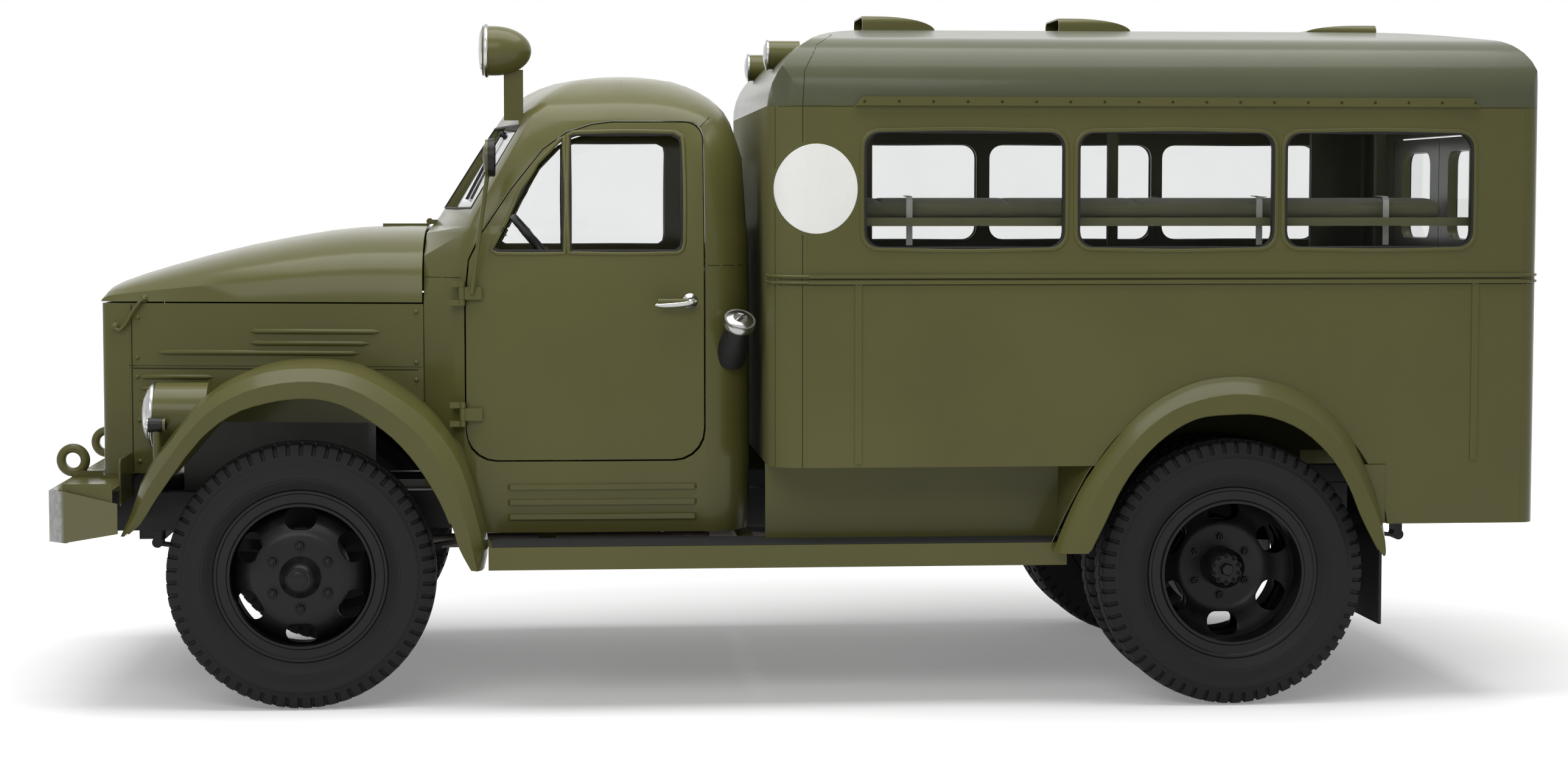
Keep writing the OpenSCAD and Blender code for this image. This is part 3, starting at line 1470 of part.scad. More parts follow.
module rim_profile() {
    lip_a = rim_half + rim_lip_t;
    groove_a = lip_a - rim_groove_h;
    polygon([[rim_r - rim_in, -lip_a], [rim_r + rim_lip_h, -lip_a], [rim_r + rim_lip_h,
        -rim_half - seat_gap],
        [rim_r - seat_gap, -rim_half - seat_gap], [rim_r - seat_gap, rim_half + seat_gap],
        [rim_r + rim_lip_h, rim_half + seat_gap], [rim_r + rim_lip_h, lip_a],
        [rim_r + rim_lip_h - rim_bead_w, lip_a], [rim_r + rim_lip_h - rim_bead_w - rim_groove_h, groove_a],
        [rim_r - rim_in + rim_bead_w + rim_bead_h, groove_a],
        [rim_r - rim_in + rim_bead_w, lip_a + rim_bead_h], [rim_r - rim_in, lip_a + rim_bead_h]]);
}

module disc_profile(a_rim, a_hub) {
    bend_a = mix(a_rim, a_hub, disc_bend_shares[1]);
    shoulder_a = mix(a_rim, a_hub, disc_shoulder_shares[1]);
    face = [[rim_r - disc_edge, a_rim], [rim_r * disc_bend_shares[0], bend_a],
        [rim_r * disc_shoulder_shares[0], shoulder_a],
        [rim_r * disc_plate_share, a_hub], [hub_r - disc_hub_in, a_hub]];
    polygon(concat(face, [for (p = flip(face)) [p[0], p[1] - disc_t]]));
}

module hand_hole_cut(a0, a1) {
    for (i = [0:hand_holes - 1]) rotate([0, 0, 360 * i / hand_holes + 180 / hand_holes])
        translate([rim_r * hole_ring_share, 0, a0]) {
            for (s = [-1, 1]) translate([0, s * hole_half_len, 0]) cylinder(h = a1 - a0, r = hole_r);
            translate([-hole_r, -hole_half_len, 0]) cube([2 * hole_r, 2 * hole_half_len, a1 - a0]);
        }
}

// A hub with a blind bore: inner end, shoulder and cap along the axle, cap radius, bore radius and
// depth, cap wall
module hub(a_in, a_shoulder, a_cap, cap_r, bore_r, a_bore, wall) {
    rotate_extrude() polygon([[bore_r + pin_gap, a_in], [hub_r, a_in], [hub_r, a_shoulder], [cap_r,
        a_cap - wall],
        [cap_r - wall, a_cap], [0, a_cap], [0, a_cap - wall], [bore_r + pin_gap, a_bore]]);
}

module drum(a_in, a_out, web_a) {
    rotate_extrude() polygon([[hub_r - drum_in, web_a], [drum_r, web_a], [drum_r, a_out], [drum_r - drum_t,
        a_out],
        [drum_r - drum_t, a_in], [hub_r - drum_in, a_in]]);
}

module front_disc(y, s) {
    translate([0, y, tyre_r]) rotate([90 * s, 0, 0]) {
        rotate_extrude() rim_profile();
        difference() {
            rotate_extrude() disc_profile(front_rim_a, front_plate_a);
            hand_hole_cut(-disc_t, front_plate_a);
        }
        hub(-front_hub_in, front_shoulder_a, front_cap_a, front_cap_r, spindle_r, front_bore_a,
            front_cap_wall);
        drum(-front_hub_in + drum_t, front_drum_a, -front_hub_in);
    }
}

module front_disc_left() {
    color("#161615") front_disc(-front_track / 2, 1);
}

module front_disc_right() {
    color("#161615") front_disc(front_track / 2, -1);
}

module front_tyre_left() {
    color("#22211f") translate([0, -front_track / 2, tyre_r]) tyre_solid();
}

module front_tyre_right() {
    color("#22211f") translate([0, front_track / 2, tyre_r]) tyre_solid();
}

module rear_discs(s) {
    p = dual_pitch / 2;
    translate([wheelbase, s * rear_track / 2, tyre_r]) rotate([-90 * s, 0, 0]) {
        for (m = [-1, 1]) translate([0, 0, m * p]) rotate_extrude() rim_profile();
        difference() {
            union() {
                rotate_extrude() disc_profile(p - rear_dish_in, rear_plate_a);
                rotate_extrude() disc_profile(-p + rear_inner_in, rear_inner_a);
            }
            hand_hole_cut(-p, p);
        }
        hub(-rear_hub_in, rear_hub_a, rear_cap_a, rear_cap_r, rear_stub_r, rear_bore_a, rear_cap_wall);
        drum(-rear_drum_a - drum_t, -rear_drum_a - rear_drum_len, -rear_drum_a);
    }
}

module rear_discs_left() {
    color("#161615") rear_discs(-1);
}

module rear_discs_right() {
    color("#161615") rear_discs(1);
}

module rear_tyre_pair(s) {
    for (m = [-1, 1]) translate([wheelbase, s * (rear_track / 2 + m * dual_pitch / 2), tyre_r])
        tyre_solid();
}

module rear_tyres_left() {
    color("#22211f") rear_tyre_pair(-1);
}

module rear_tyres_right() {
    color("#22211f") rear_tyre_pair(1);
}

module knuckle(s) {
    king_y = kingpin_span / 2;
    ear_z = axle_drop / 2 + lug_gap;
    web_y = king_y + eye_r + knuckle_web_gap;
    color("#1d1d1c") scale([1, s, 1]) {
        translate([0, -king_y, axle_top_z - ear_z - ear_t])
            cylinder(h = 2 * ear_z + 2 * ear_t, r = kingpin_r);
        for (k = [-1, 1]) translate([0, -king_y, axle_top_z + k * (ear_z + ear_t / 2) - ear_t / 2]) {
            cylinder(h = ear_t, r = eye_r);
            slab(-eye_r, eye_r, king_y - web_y - over, 0, 0, ear_t);
        }
        slab(-eye_r, eye_r, -web_y - knuckle_web_t, -web_y, axle_top_z - ear_z - ear_t, axle_top_z + ear_z
            + ear_t);
        across(0, -front_track / 2 - spindle_out, -web_y - over, tyre_r, spindle_r);
    }
}

module knuckle_left() {
    knuckle(1);
}

module knuckle_right() {
    knuckle(-1);
}

module placed() {
    translate([-mid_x, 0, 0]) children();
}

placed() frame();
placed() front_bumper();
placed() tow_hooks();
placed() front_axle();
placed() leaf_springs();
placed() rear_axle();
placed() engine();
placed() radiator();
placed() propeller_shaft();
placed() exhaust();
placed() grille();
placed() hood_sides();
placed() hood();
placed() hood_hinge();
placed() front_fenders();
placed() headlamps();
placed() lamp_lenses();
placed() running_boards();
placed() cab_shell();
placed() cab_floor();
placed() cab_glass();
placed() door_left();
placed() door_right();
placed() door_glass_left();
placed() door_glass_right();
placed() mirror_arm();
placed() dashboard();
placed() bench_seat();
placed() steering_wheel();
placed() searchlight();
placed() fuel_filler();
placed() body_floor();
placed() body_sides();
placed() body_front();
placed() body_rear();
placed() body_roof();
placed() body_glass();
placed() rear_door_left();
placed() rear_door_right();
placed() rear_door_glass_left();
placed() rear_door_glass_right();
placed() rear_fenders();
placed() body_skirts();
placed() mud_flaps();
placed() roof_vents();
placed() roof_lamps();
placed() stretcher_racks();
placed() stretcher_pads();
placed() front_disc_left();
placed() front_disc_right();
placed() front_tyre_left();
placed() front_tyre_right();
placed() rear_discs_left();
placed() rear_discs_right();
placed() rear_tyres_left();
placed() rear_tyres_right();
placed() knuckle_left();
placed() knuckle_right();
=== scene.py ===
import json
import math

import bmesh
import bpy
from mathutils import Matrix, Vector


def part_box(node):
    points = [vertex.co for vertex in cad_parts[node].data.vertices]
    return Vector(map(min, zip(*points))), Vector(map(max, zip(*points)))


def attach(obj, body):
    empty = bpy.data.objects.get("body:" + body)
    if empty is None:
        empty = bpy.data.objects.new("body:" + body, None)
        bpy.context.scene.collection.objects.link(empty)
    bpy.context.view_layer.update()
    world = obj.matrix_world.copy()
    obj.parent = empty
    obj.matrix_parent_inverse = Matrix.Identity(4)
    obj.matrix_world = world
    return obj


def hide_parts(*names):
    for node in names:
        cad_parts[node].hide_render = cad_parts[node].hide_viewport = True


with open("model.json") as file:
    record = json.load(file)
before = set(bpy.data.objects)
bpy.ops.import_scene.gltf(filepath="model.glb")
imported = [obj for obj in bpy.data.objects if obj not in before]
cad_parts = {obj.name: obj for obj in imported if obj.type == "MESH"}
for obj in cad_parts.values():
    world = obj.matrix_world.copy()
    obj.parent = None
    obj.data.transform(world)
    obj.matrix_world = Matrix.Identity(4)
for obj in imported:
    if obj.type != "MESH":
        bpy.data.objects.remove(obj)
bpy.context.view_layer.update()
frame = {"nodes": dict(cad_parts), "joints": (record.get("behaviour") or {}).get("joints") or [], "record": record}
nodes = frame["nodes"]
joints = {j["name"]: j for j in frame["joints"]}

# Places and sizes are in millimetres, from the front axle and over the ground, as on the part's drawing.
# Those written with MM are in metres.
MM = 0.001
AXLE_X = joints["front_spin_left"]["pos_m"][0]
AXLE_Z = joints["front_spin_left"]["pos_m"][2] / MM
REAR_AXLE = (joints["rear_spin_left"]["pos_m"][0] - AXLE_X) / MM
SIDES = ((-1, "left"), (1, "right"))
X, Y, Z = Vector((1, 0, 0)), Vector((0, 1, 0)), Vector((0, 0, 1))
FULL_TURN = 2 * math.pi
# Where rays from the sides start, and how far fittings sink into what they stand on
FAR = 3000 * MM
SUNK = 0.6 * MM


def at(x, y, z):
    return Vector((x * MM + AXLE_X, y * MM, z * MM))


def in_metres(pairs):
    return [(a * MM, b * MM) for a, b in pairs]


# Materials: base colours, and the bare steel on the ends of the bumper
OLIVE = (0.084, 0.081, 0.023)
# Olive raised and greyed for the front of the body: painted reflection, in place of the white sheen that the side
# panels reflect
SHEEN_PAINTED_OLIVE = (0.101, 0.099, 0.040)
# The roof is the sides' paint: its greyer, darker olive is painted reflection and shade, as the top faces the sky
ROOF_SKY_TONED_OLIVE = (0.070, 0.075, 0.041)
INNER_OLIVE = (0.055, 0.054, 0.023)
RACK_OLIVE = (0.075, 0.074, 0.036)
# Dark olive at 0.3 of the paint: painted shadow for the seam lines, the lines at the waist beads and roof edge,
# and the gutter bolts
SEAM_SHADOW_OLIVE = (0.0252, 0.0243, 0.0069)
BLACK = (0.0045, 0.0045, 0.005)
PLASTIC = (0.012, 0.012, 0.012)
TYRE = (0.0065, 0.0065, 0.007)
RUBBER = (0.008, 0.008, 0.008)
STEEL = (0.44, 0.44, 0.43)
CAST_IRON = (0.16, 0.16, 0.15)
EXHAUST = (0.22, 0.19, 0.17)
LEATHER = (0.060, 0.046, 0.030)
CANVAS = (0.088, 0.087, 0.042)
WEBBING = (0.30, 0.30, 0.28)
WHITE = (0.80, 0.80, 0.77)
WINDOW_TINTS = ((0.87, 0.88, 0.875, 1.0), (0.90, 0.91, 0.905, 1.0))
LAMP_TINTS = ((0.34, 0.35, 0.35, 1.0), (0.52, 0.53, 0.53, 1.0))
FULL_WHITE = (1.0, 1.0, 1.0, 1.0)
BUMPER_BARE_X = -812
BUMPER_BARE_Y = 730
BUMPER_FADE = 14
# Sockets of the colour mixing node, whose names are shared with other types
MIX_A, MIX_B, MIX_RESULT = 6, 7, 2


def scaled(colour, k):
    return (colour[0] * k, colour[1] * k, colour[2] * k, 1.0)


class Tree:
    """A node tree and short ways to add to it."""

    def __init__(self, tree):
        self.tree = tree

    def feed(self, socket, value):
        """Joins a socket to another one, or sets its value."""
        if isinstance(value, bpy.types.NodeSocket):
            self.tree.links.new(value, socket)
        else:
            socket.default_value = value

    def add(self, kind, inputs, **settings):
        node = self.tree.nodes.new(kind)
        for key, value in settings.items():
            setattr(node, key, value)
        for key, value in inputs.items():
            self.feed(node.inputs[key], value)
        return node

    def calc(self, operation, *values):
        return self.add("ShaderNodeMath", dict(enumerate(values)), operation=operation).outputs[0]

    def span(self, value, low, high, start=0.0, end=1.0):
        """Carries a value from the range start to end over to the range low to high."""
        return self.add("ShaderNodeMapRange", {
            "Value": value, "From Min": start, "From Max": end, "To Min": low, "To Max": high,
        }).outputs["Result"]

    def seen(self):
        """1 for rays from the camera, or by way of a mirror or glass."""
        path = self.add("ShaderNodeLightPath", {}).outputs
        total = path["Is Camera Ray"]
        for key in ("Is Glossy Ray", "Is Transmission Ray"):
            total = self.calc("MAXIMUM", total, path[key])
        return total


class Look(Tree):
    """A material on object coordinates."""

    def __init__(self, name):
        self.material = bpy.data.materials.new(name)
        self.material.use_nodes = True
        super().__init__(self.material.node_tree)
        self.shader = self.tree.nodes["Principled BSDF"].inputs
        self.place = self.add("ShaderNodeTexCoord", {}).outputs["Object"]

    def noise(self, scale, detail=4.0, rough=0.55):
        return self.add("ShaderNodeTexNoise", {
            "Vector": self.place, "Scale": scale, "Detail": detail, "Roughness": rough,
        }).outputs["Fac"]

    def wave(self, way, scale):
        return self.add("ShaderNodeTexWave", {"Vector": self.place, "Scale": scale},
                        bands_direction=way).outputs["Fac"]

    def ramp(self, value, *stops):
        """A colour between two stops, each a place and a colour."""
        node = self.add("ShaderNodeValToRGB", {"Fac": value})
        for element, (place, colour) in zip(node.color_ramp.elements, stops):
            element.position = place
            element.color = colour
        return node.outputs["Color"]

    def tones(self, value, colour, *stops):
        """A colour between two stops, each a place and a share of one colour."""
        return self.ramp(value, *((place, scaled(colour, share)) for place, share in stops))

    def mix(self, value, a, b):
        return self.add("ShaderNodeMix", {"Factor": value, MIX_A: a, MIX_B: b},
                        data_type="RGBA").outputs[MIX_RESULT]

    def bump(self, height, strength, depth):
        node = self.add("ShaderNodeBump", {"Height": height, "Strength": strength, "Distance": depth})
        self.feed(self.shader["Normal"], node.outputs["Normal"])

    def finish(self, sockets):
        for key, value in sockets.items():
            self.feed(self.shader[key], value)
        return self.material


def paint(name, colour, rough=(0.30, 0.42), coat=0.7, gloss=0.12):
    """Brushed-on army paint: slow shifts of tone, fine orange peel and a satin gloss."""
    m = Look(name)
    tone = m.tones(m.noise(scale=1.7, detail=3.0), colour, (0.3, 0.92), (0.7, 1.07))
    speck = m.span(m.noise(scale=95.0, detail=6.0, rough=0.7), -0.25, 0.35)
    m.bump(m.noise(scale=420.0, detail=2.0), strength=0.10, depth=0.0004)
    return m.finish({
        "Base Color": m.mix(speck, tone, scaled(colour, 1.22)),
        "Roughness": m.span(m.noise(scale=9.0, detail=5.0), *rough),
        "Coat Weight": coat, "Coat Roughness": 0.16, "Coat IOR": 1.25, "Specular IOR Level": gloss,
    })


def mottled(name, colour, spots, stops, rough, grain, sockets):
    """A surface whose tone and roughness follow one noise, under a fine grain.

    spots is a noise's scale, detail and roughness. grain is a noise's scale and detail, and the
    strength and depth of its bump.
    """
    m = Look(name)
    dust = m.noise(*spots)
    scale, detail, strength, depth = grain
    m.bump(m.noise(scale, detail), strength, depth)
    return m.finish({
        "Base Color": m.tones(dust, colour, *stops), "Roughness": m.span(dust, *rough), **sockets})


def enamel(name, colour):
    """Black chassis and wheel enamel with a little road dust."""
    return mottled(name, colour, spots=(14.0, 6.0, 0.65), stops=((0.45, 0.9), (0.85, 1.8)),
                   rough=(0.22, 0.48), grain=(300.0, 2.0, 0.12, 0.0004),
                   sockets={"Specular IOR Level": 0.22})


def rubber(name, colour, rough):
    return mottled(name, colour, spots=(26.0, 7.0, 0.7), stops=((0.35, 0.8), (0.75, 1.5)),
                   rough=rough, grain=(650.0, 3.0, 0.25, 0.0005), sockets={"Specular IOR Level": 0.25})


def metal(name, colour, rough):
    return mottled(name, colour, spots=(18.0, 6.0, 0.6), stops=((0.3, 0.82), (0.7, 1.08)),
                   rough=rough, grain=(240.0, 2.0, 0.06, 0.0003), sockets={"Metallic": 1.0})


def clear_glass(name):
    m = Look(name)
    return m.finish({
        "Base Color": m.ramp(m.noise(scale=3.0), (0.3, WINDOW_TINTS[0]), (0.7, WINDOW_TINTS[1])),
        "Roughness": m.span(m.noise(scale=30.0), 0.0, 0.02),
        "Transmission Weight": 1.0, "IOR": 1.10,
    })


def lamp_glass(name):
    """Fluted lamp glass over a silvered bowl."""
    m = Look(name)
    m.bump(m.wave("Y", scale=16.0), strength=0.30, depth=0.002)
    return m.finish({
        "Base Color": m.ramp(m.noise(scale=22.0), (0.3, LAMP_TINTS[0]), (0.7, LAMP_TINTS[1])),
        "Roughness": m.span(m.noise(scale=40.0), 0.10, 0.22),
        "Metallic": 0.75, "Coat Weight": 0.25, "Coat Roughness": 0.03,
    })


def leather(name, colour):
    m = Look(name)
    worn = m.noise(scale=7.0, detail=5.0)
    grain = m.add("ShaderNodeTexVoronoi", {"Vector": m.place, "Scale": 260.0})
    m.bump(grain.outputs["Distance"], strength=0.30, depth=0.0008)
    return m.finish({
        "Base Color": m.tones(worn, colour, (0.35, 0.75), (0.7, 1.35)),
        "Roughness": m.span(worn, 0.42, 0.62),
    })


def canvas(name, colour):
    """Woven cotton: two crossed sets of threads."""
    m = Look(name)
    weave = m.calc("MAXIMUM", m.wave("X", scale=170.0), m.wave("Y", scale=170.0))
    tone = m.tones(m.noise(scale=6.0), colour, (0.3, 0.85), (0.7, 1.12))
    m.bump(weave, strength=0.5, depth=0.0008)
    return m.finish({
        "Base Color": m.mix(m.span(weave, 0.0, 0.35), tone, scaled(colour, 0.6)),
        "Roughness": m.span(weave, 0.95, 0.8),
        "Sheen Weight": 0.3,
    })


def bumper_paint(name):
    """Olive paint, with bare steel on the front of both ends."""
    m = Look(name)
    split = m.add("ShaderNodeSeparateXYZ", {0: m.place}).outputs
    fade = BUMPER_FADE * MM
    start = at(BUMPER_BARE_X, 0, 0).x
    ragged = m.calc("MULTIPLY_ADD", m.noise(scale=30.0, detail=6.0), fade, split["X"])
    front = m.span(ragged, 1.0, 0.0, start, start + fade)
    end = m.calc("GREATER_THAN", m.calc("ABSOLUTE", split["Y"]), BUMPER_BARE_Y * MM)
    bare = m.calc("MULTIPLY", front, end)
    olive = m.tones(m.noise(scale=1.7), OLIVE, (0.3, 0.92), (0.7, 1.07))
    steel = m.tones(m.noise(scale=45.0, detail=6.0), STEEL, (0.3, 0.42), (0.7, 0.62))
    m.bump(m.noise(scale=300.0, detail=2.0), strength=0.12, depth=0.0005)
    return m.finish({
        "Base Color": m.mix(bare, olive, steel),
        "Metallic": bare,
        "Roughness": m.span(m.noise(scale=25.0, detail=6.0), 0.25, 0.45),
    })


MATERIAL = {
    "olive": paint("olive_paint", OLIVE),
    # Front of the body: gloss taken down and colour raised, a painted reflection in place of the sides' sheen
    "sheen_painted_olive": paint("front_painted_sheen", SHEEN_PAINTED_OLIVE, rough=(0.45, 0.6), coat=0.0, gloss=0.06),
    # Roof: olive toned greyer and darker as painted sky reflection and shade on the top
    "roof_olive": paint("roof_painted_sky_tone", ROOF_SKY_TONED_OLIVE, rough=(0.36, 0.5)),
    "inner_olive": paint("inner_paint", INNER_OLIVE, rough=(0.5, 0.65), coat=0.0),
    "chassis_black": enamel("chassis_enamel", BLACK),
    "engine_grey": metal("cast_iron", CAST_IRON, rough=(0.55, 0.75)),
    "exhaust_steel": metal("exhaust_steel", EXHAUST, rough=(0.5, 0.7)),
    "bright_steel": metal("bright_steel", STEEL, rough=(0.14, 0.30)),
    "glass": clear_glass("window_glass"),
    "lamp": lamp_glass("lamp_glass"),
    "rubber": rubber("seal_rubber", RUBBER, rough=(0.45, 0.65)),
    "tyre": rubber("tyre_rubber", TYRE, rough=(0.58, 0.82)),
    "leather": leather("seat_leather", LEATHER),
    "canvas": canvas("pad_canvas", CANVAS),
    "webbing": canvas("strap_webbing", WEBBING),
    "black_plastic": enamel("black_plastic", PLASTIC),
    "rack_grey": paint("rack_paint", RACK_OLIVE, rough=(0.45, 0.6), coat=0.0),
    "white": paint("roundel_paint", WHITE, rough=(0.35, 0.5), coat=0.05),
    # Painted shadow: seam lines, lines under and between the waist beads and along the roof edge, and the gutter
    # bolts
    "seam_shadow_line": paint("seam_shadow", SEAM_SHADOW_OLIVE, rough=(0.5, 0.65), coat=0.0),
    "bumper": bumper_paint("bumper_paint"),
}

# Mesh tools
SHARP = 38
NUT_SIDES = 6
NUT_CHAMFER = (0.85, 0.75)
STUD_DOME = [(1, 0), (0.95, 0.45), (0.7, 0.82), (0.3, 1)]
STUD_STEPS = 10
# Foot of a low bead: share of its half width, and depth as a share of its height
BEAD_FOOT = (0.9, 0.5)
# Decimals at which two points count as one
WELD_DIGITS = 5
PANE_DIGITS = 4
STRAIGHT = 1e-9


def add_object(name, data):
    obj = bpy.data.objects.new(name, data)
    bpy.context.scene.collection.objects.link(obj)
    return obj


def piece(name, verts, faces, body, material):
    mesh = bpy.data.meshes.new(name)
    mesh.from_pydata([tuple(v) for v in verts], [], faces)
    mesh.update()
    mesh.shade_smooth()
    mesh.set_sharp_from_angle(angle=math.radians(SHARP))
    mesh.materials.append(MATERIAL[material])
    obj = add_object(name, mesh)
    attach(obj, body)
    return obj


def round_section(r, n=10):
    return [(r * math.cos(FULL_TURN * k / n), r * math.sin(FULL_TURN * k / n)) for k in range(n)]


def low_section(half_w, h, n):
    """A low half round that lies on a surface."""
    top = [(-half_w * math.cos(math.pi * k / n), h * math.sin(math.pi * k / n)) for k in range(n + 1)]
    foot, depth = half_w * BEAD_FOOT[0], -h * BEAD_FOOT[1]
    return top + [(foot, depth), (-foot, depth)]


def bar_section(half_w, half_t):
    return [(-half_w, -half_t), (half_w, -half_t), (half_w, half_t), (-half_w, half_t)]


class Shape:
    """Collects the faces of one piece."""

    def __init__(self):
        self.verts = []
        self.faces = []

    def rings(self, rings, closed=False):
        """Skins rings of points. The last ring joins the first if closed, and both are capped if not."""
        first = len(self.verts)
        n = len(rings[0])
        for ring in rings:
            self.verts += ring
        count = len(rings)
        for i in range(count if closed else count - 1):
            a = first + i * n
            b = first + (i + 1) % count * n
            for k in range(n):
                k2 = (k + 1) % n
                self.faces.append((a + k, a + k2, b + k2, b + k))
        if not closed:
            self.faces.append(tuple(first + k for k in reversed(range(n))))
            self.faces.append(tuple(first + (count - 1) * n + k for k in range(n)))

    def sweep(self, path, section, out, closed=False):
        """Carries a section (side, out) along a path. out is one way, or a list with one for each point."""
        rings = []
        count = len(path)
        for i, p in enumerate(path):
            a = path[i - 1] if closed or i else path[0]
            b = path[(i + 1) % count] if closed or i < count - 1 else path[-1]
            along = (b - a).normalized()
            side = along.cross(out[i] if isinstance(out, list) else out).normalized()
            up = side.cross(along)
            rings.append([p + side * s + up * h for s, h in section])
        self.rings(rings, closed)

    def revolve(self, centre, axis, profile, steps):
        """Turns a profile of (radius, place on the axis) round the axis."""
        axis = axis.normalized()
        u = axis.orthogonal().normalized()
        v = axis.cross(u)
        turn = round_section(1, steps)
        self.rings([[centre + axis * h + (u * c + v * s) * r for c, s in turn] for r, h in profile])

    def nut(self, centre, axis, r, h):
        share, up = NUT_CHAMFER
        self.revolve(centre, axis, [(r, 0), (r, h * up), (r * share, h)], NUT_SIDES)

    def stud(self, centre, axis, r, h):
        self.revolve(centre, axis, [(r * a, h * b) for a, b in STUD_DOME], STUD_STEPS)

    def torus(self, centre, ring_r, tube_r, steps):
        """A ring round the x axis."""
        rings = []
        for c, s in round_section(1, steps):
            ray = Vector((0, c, s))
            rings.append([centre + ray * (ring_r + r) + X * h for r, h in round_section(tube_r, n=14)])
        self.rings(rings, closed=True)

    def make(self, name, material, slot=None, body="chassis"):
        return piece(name, self.verts, self.faces, body, material)


def both_sides(prefix, material, slot=None):
    """Turns a function that fills a shape for one side into one that makes a piece on both sides."""
    def wrap(fill):
        def build():
            for side, name in SIDES:
                shape = Shape()
                fill(shape, side)
                shape.make(prefix + name, material, slot)
        return build
    return wrap


def hit(names, origin, direction):
    """The first point of the CAD nodes that a ray meets, and the normal that faces the ray."""
    best = None
    for name in names:
        found, place, normal, _ = nodes[name].ray_cast(origin, direction)
        if found and (best is None or (place - origin).length < (best[0] - origin).length):
            best = (place, -normal if normal.dot(direction) > 0 else normal)
    return best


def on_side(names, side, x, z):
    """A point of the CAD surface seen from the left (-1) or the right (1), and its outward normal."""
    start = at(x, 0, z)
    start.y = side * FAR
    return hit(names, start, Y * -side)


def islands(name):
    """The points of each of a node's separate solids."""
    mesh = nodes[name].data
    key = {}
    same = [key.setdefault(tuple(round(c, WELD_DIGITS) for c in v.co), v.index) for v in mesh.vertices]
    group = list(range(len(same)))

    def root(i):
        while group[i] != i:
            group[i] = group[group[i]]
            i = group[i]
        return i

    for a, b in [*enumerate(same), *(e.vertices for e in mesh.edges)]:
        group[root(a)] = root(b)
    found = {}
    for v in mesh.vertices:
        found.setdefault(root(v.index), []).append(v.co.copy())
    return [found[k] for k in sorted(found)]


def limits(points):
    low = Vector([min(p[i] for p in points) for i in range(3)])
    high = Vector([max(p[i] for p in points) for i in range(3)])
    return low, high


def hull_loop(points, a, b):
    """The outline of points on the axes a and b, in order, as the points themselves."""
    keyed = {(round(p[a], WELD_DIGITS), round(p[b], WELD_DIGITS)): p for p in points}
    flat = sorted(keyed.items())

    def cross(o, s, t):
        return (s[0] - o[0]) * (t[1] - o[1]) - (s[1] - o[1]) * (t[0] - o[0])

    def half(seq):
        line = []
        for q, p in seq:
            while len(line) > 1 and cross(line[-2][0], line[-1][0], q) <= STRAIGHT:
                line.pop()
            line.append((q, p))
        return line[:-1]

    return [p for _, p in half(flat) + half(reversed(flat))]


def outer_pane(points, axis, sign):
    """The face of a pane on the sign side of an axis."""
    loop = {}
    for p in points:
        k = tuple(round(p[i], PANE_DIGITS) for i in range(3) if i != axis)
        if k not in loop or p[axis] * sign > loop[k][axis] * sign:
            loop[k] = p
    return list(loop.values())


def even(path, step, closed):
    """The same path with points at even steps."""
    out = []
    count = len(path)
    for i in range(count if closed else count - 1):
        a = Vector(path[i])
        b = Vector(path[(i + 1) % count])
        n = max(1, round((b - a).length / step))
        out += [a.lerp(b, k / n) for k in range(n)]
    if not closed:
        out.append(Vector(path[-1]))
    return out


# The CAD nodes' own surfaces
WELD = 0.02 * MM
EDGE_ANGLE = 28
# The front of the body takes the olive with painted reflection in its colour
NODE_LOOK = {
    "front_bumper": "bumper", "lamp_lenses": "lamp", "mirror_arm": "olive", "body_front": "sheen_painted_olive",
}


def soft_edges():
    """Welds a node's split points and smooths all but its real edges."""
    group = bpy.data.node_groups.new("soft_edges", "GeometryNodeTree")
    for way in ("INPUT", "OUTPUT"):
        group.interface.new_socket("Geometry", in_out=way, socket_type="NodeSocketGeometry")
    tree = Tree(group)
    start = tree.add("NodeGroupInput", {}).outputs[0]
    angle = tree.add("GeometryNodeInputMeshEdgeAngle", {}).outputs["Unsigned Angle"]
    sharp = tree.add("FunctionNodeCompare", {"A": angle, "B": math.radians(EDGE_ANGLE)},
                     operation="GREATER_THAN")
    weld = tree.add("GeometryNodeMergeByDistance", {"Geometry": start, "Distance": WELD})
    plain = tree.add("GeometryNodeSetMeshNormal", {
        "Mesh": weld.outputs["Geometry"], "Remove Custom": True, "Face Sharpness": False,
        "Edge Sharpness": sharp.outputs["Result"],
    }, mode="SHARPNESS")
    tree.add("NodeGroupOutput", {0: plain.outputs["Mesh"]})
    return group


def dress_nodes():
    group = soft_edges()
    for part in frame["record"]["subparts"]:
        obj = nodes[part["node"]]
        look = NODE_LOOK.get(part["node"], part["material_slot"])
        obj.data.materials.clear()
        obj.data.materials.append(MATERIAL[look])
        obj.modifiers.new("soft_edges", "NODES").node_group = group


# Tyres
TYRES = ("front_tyre_left", "front_tyre_right", "rear_tyres_left", "rear_tyres_right")
TYRE_PITCHES = 62
LUG_DEPTH = 9 * MM
LUG_SIDE_DEPTH = 7 * MM
ZIGZAG = 7 * MM
RIB, GROOVE, LUG, SHOULDER, WALL = range(5)
# Share of the half width, drop below the tread in mm, and kind, from the middle to the bead.
TYRE_PROFILE = [
    (0.00, 0, RIB), (0.24, 1, RIB), (0.27, 11, GROOVE), (0.35, 11, GROOVE), (0.38, 2, LUG),
    (0.68, 5, LUG), (0.80, 10, SHOULDER), (0.88, 26, SHOULDER), (0.93, 43, SHOULDER), (0.94, 46, WALL),
    (0.965, 62, WALL), (0.985, 64, WALL), (0.995, 76, WALL), (0.985, 78, WALL), (1.0, 104, WALL),
    (0.995, 124, WALL), (0.975, 126, WALL), (0.97, 133, WALL), (0.95, 135, WALL), (0.90, 148, WALL),
    (0.86, 151, WALL), (0.80, 162, WALL), (0.715, 170, WALL),
]
# Place in a pitch, and whether the groove between two lugs is there. The right half is half a pitch on.
TYRE_STEPS = [(0.02, True), (0.25, True), (0.31, False), (0.64, False), (0.96, False)]
HALF_PITCH = 0.5


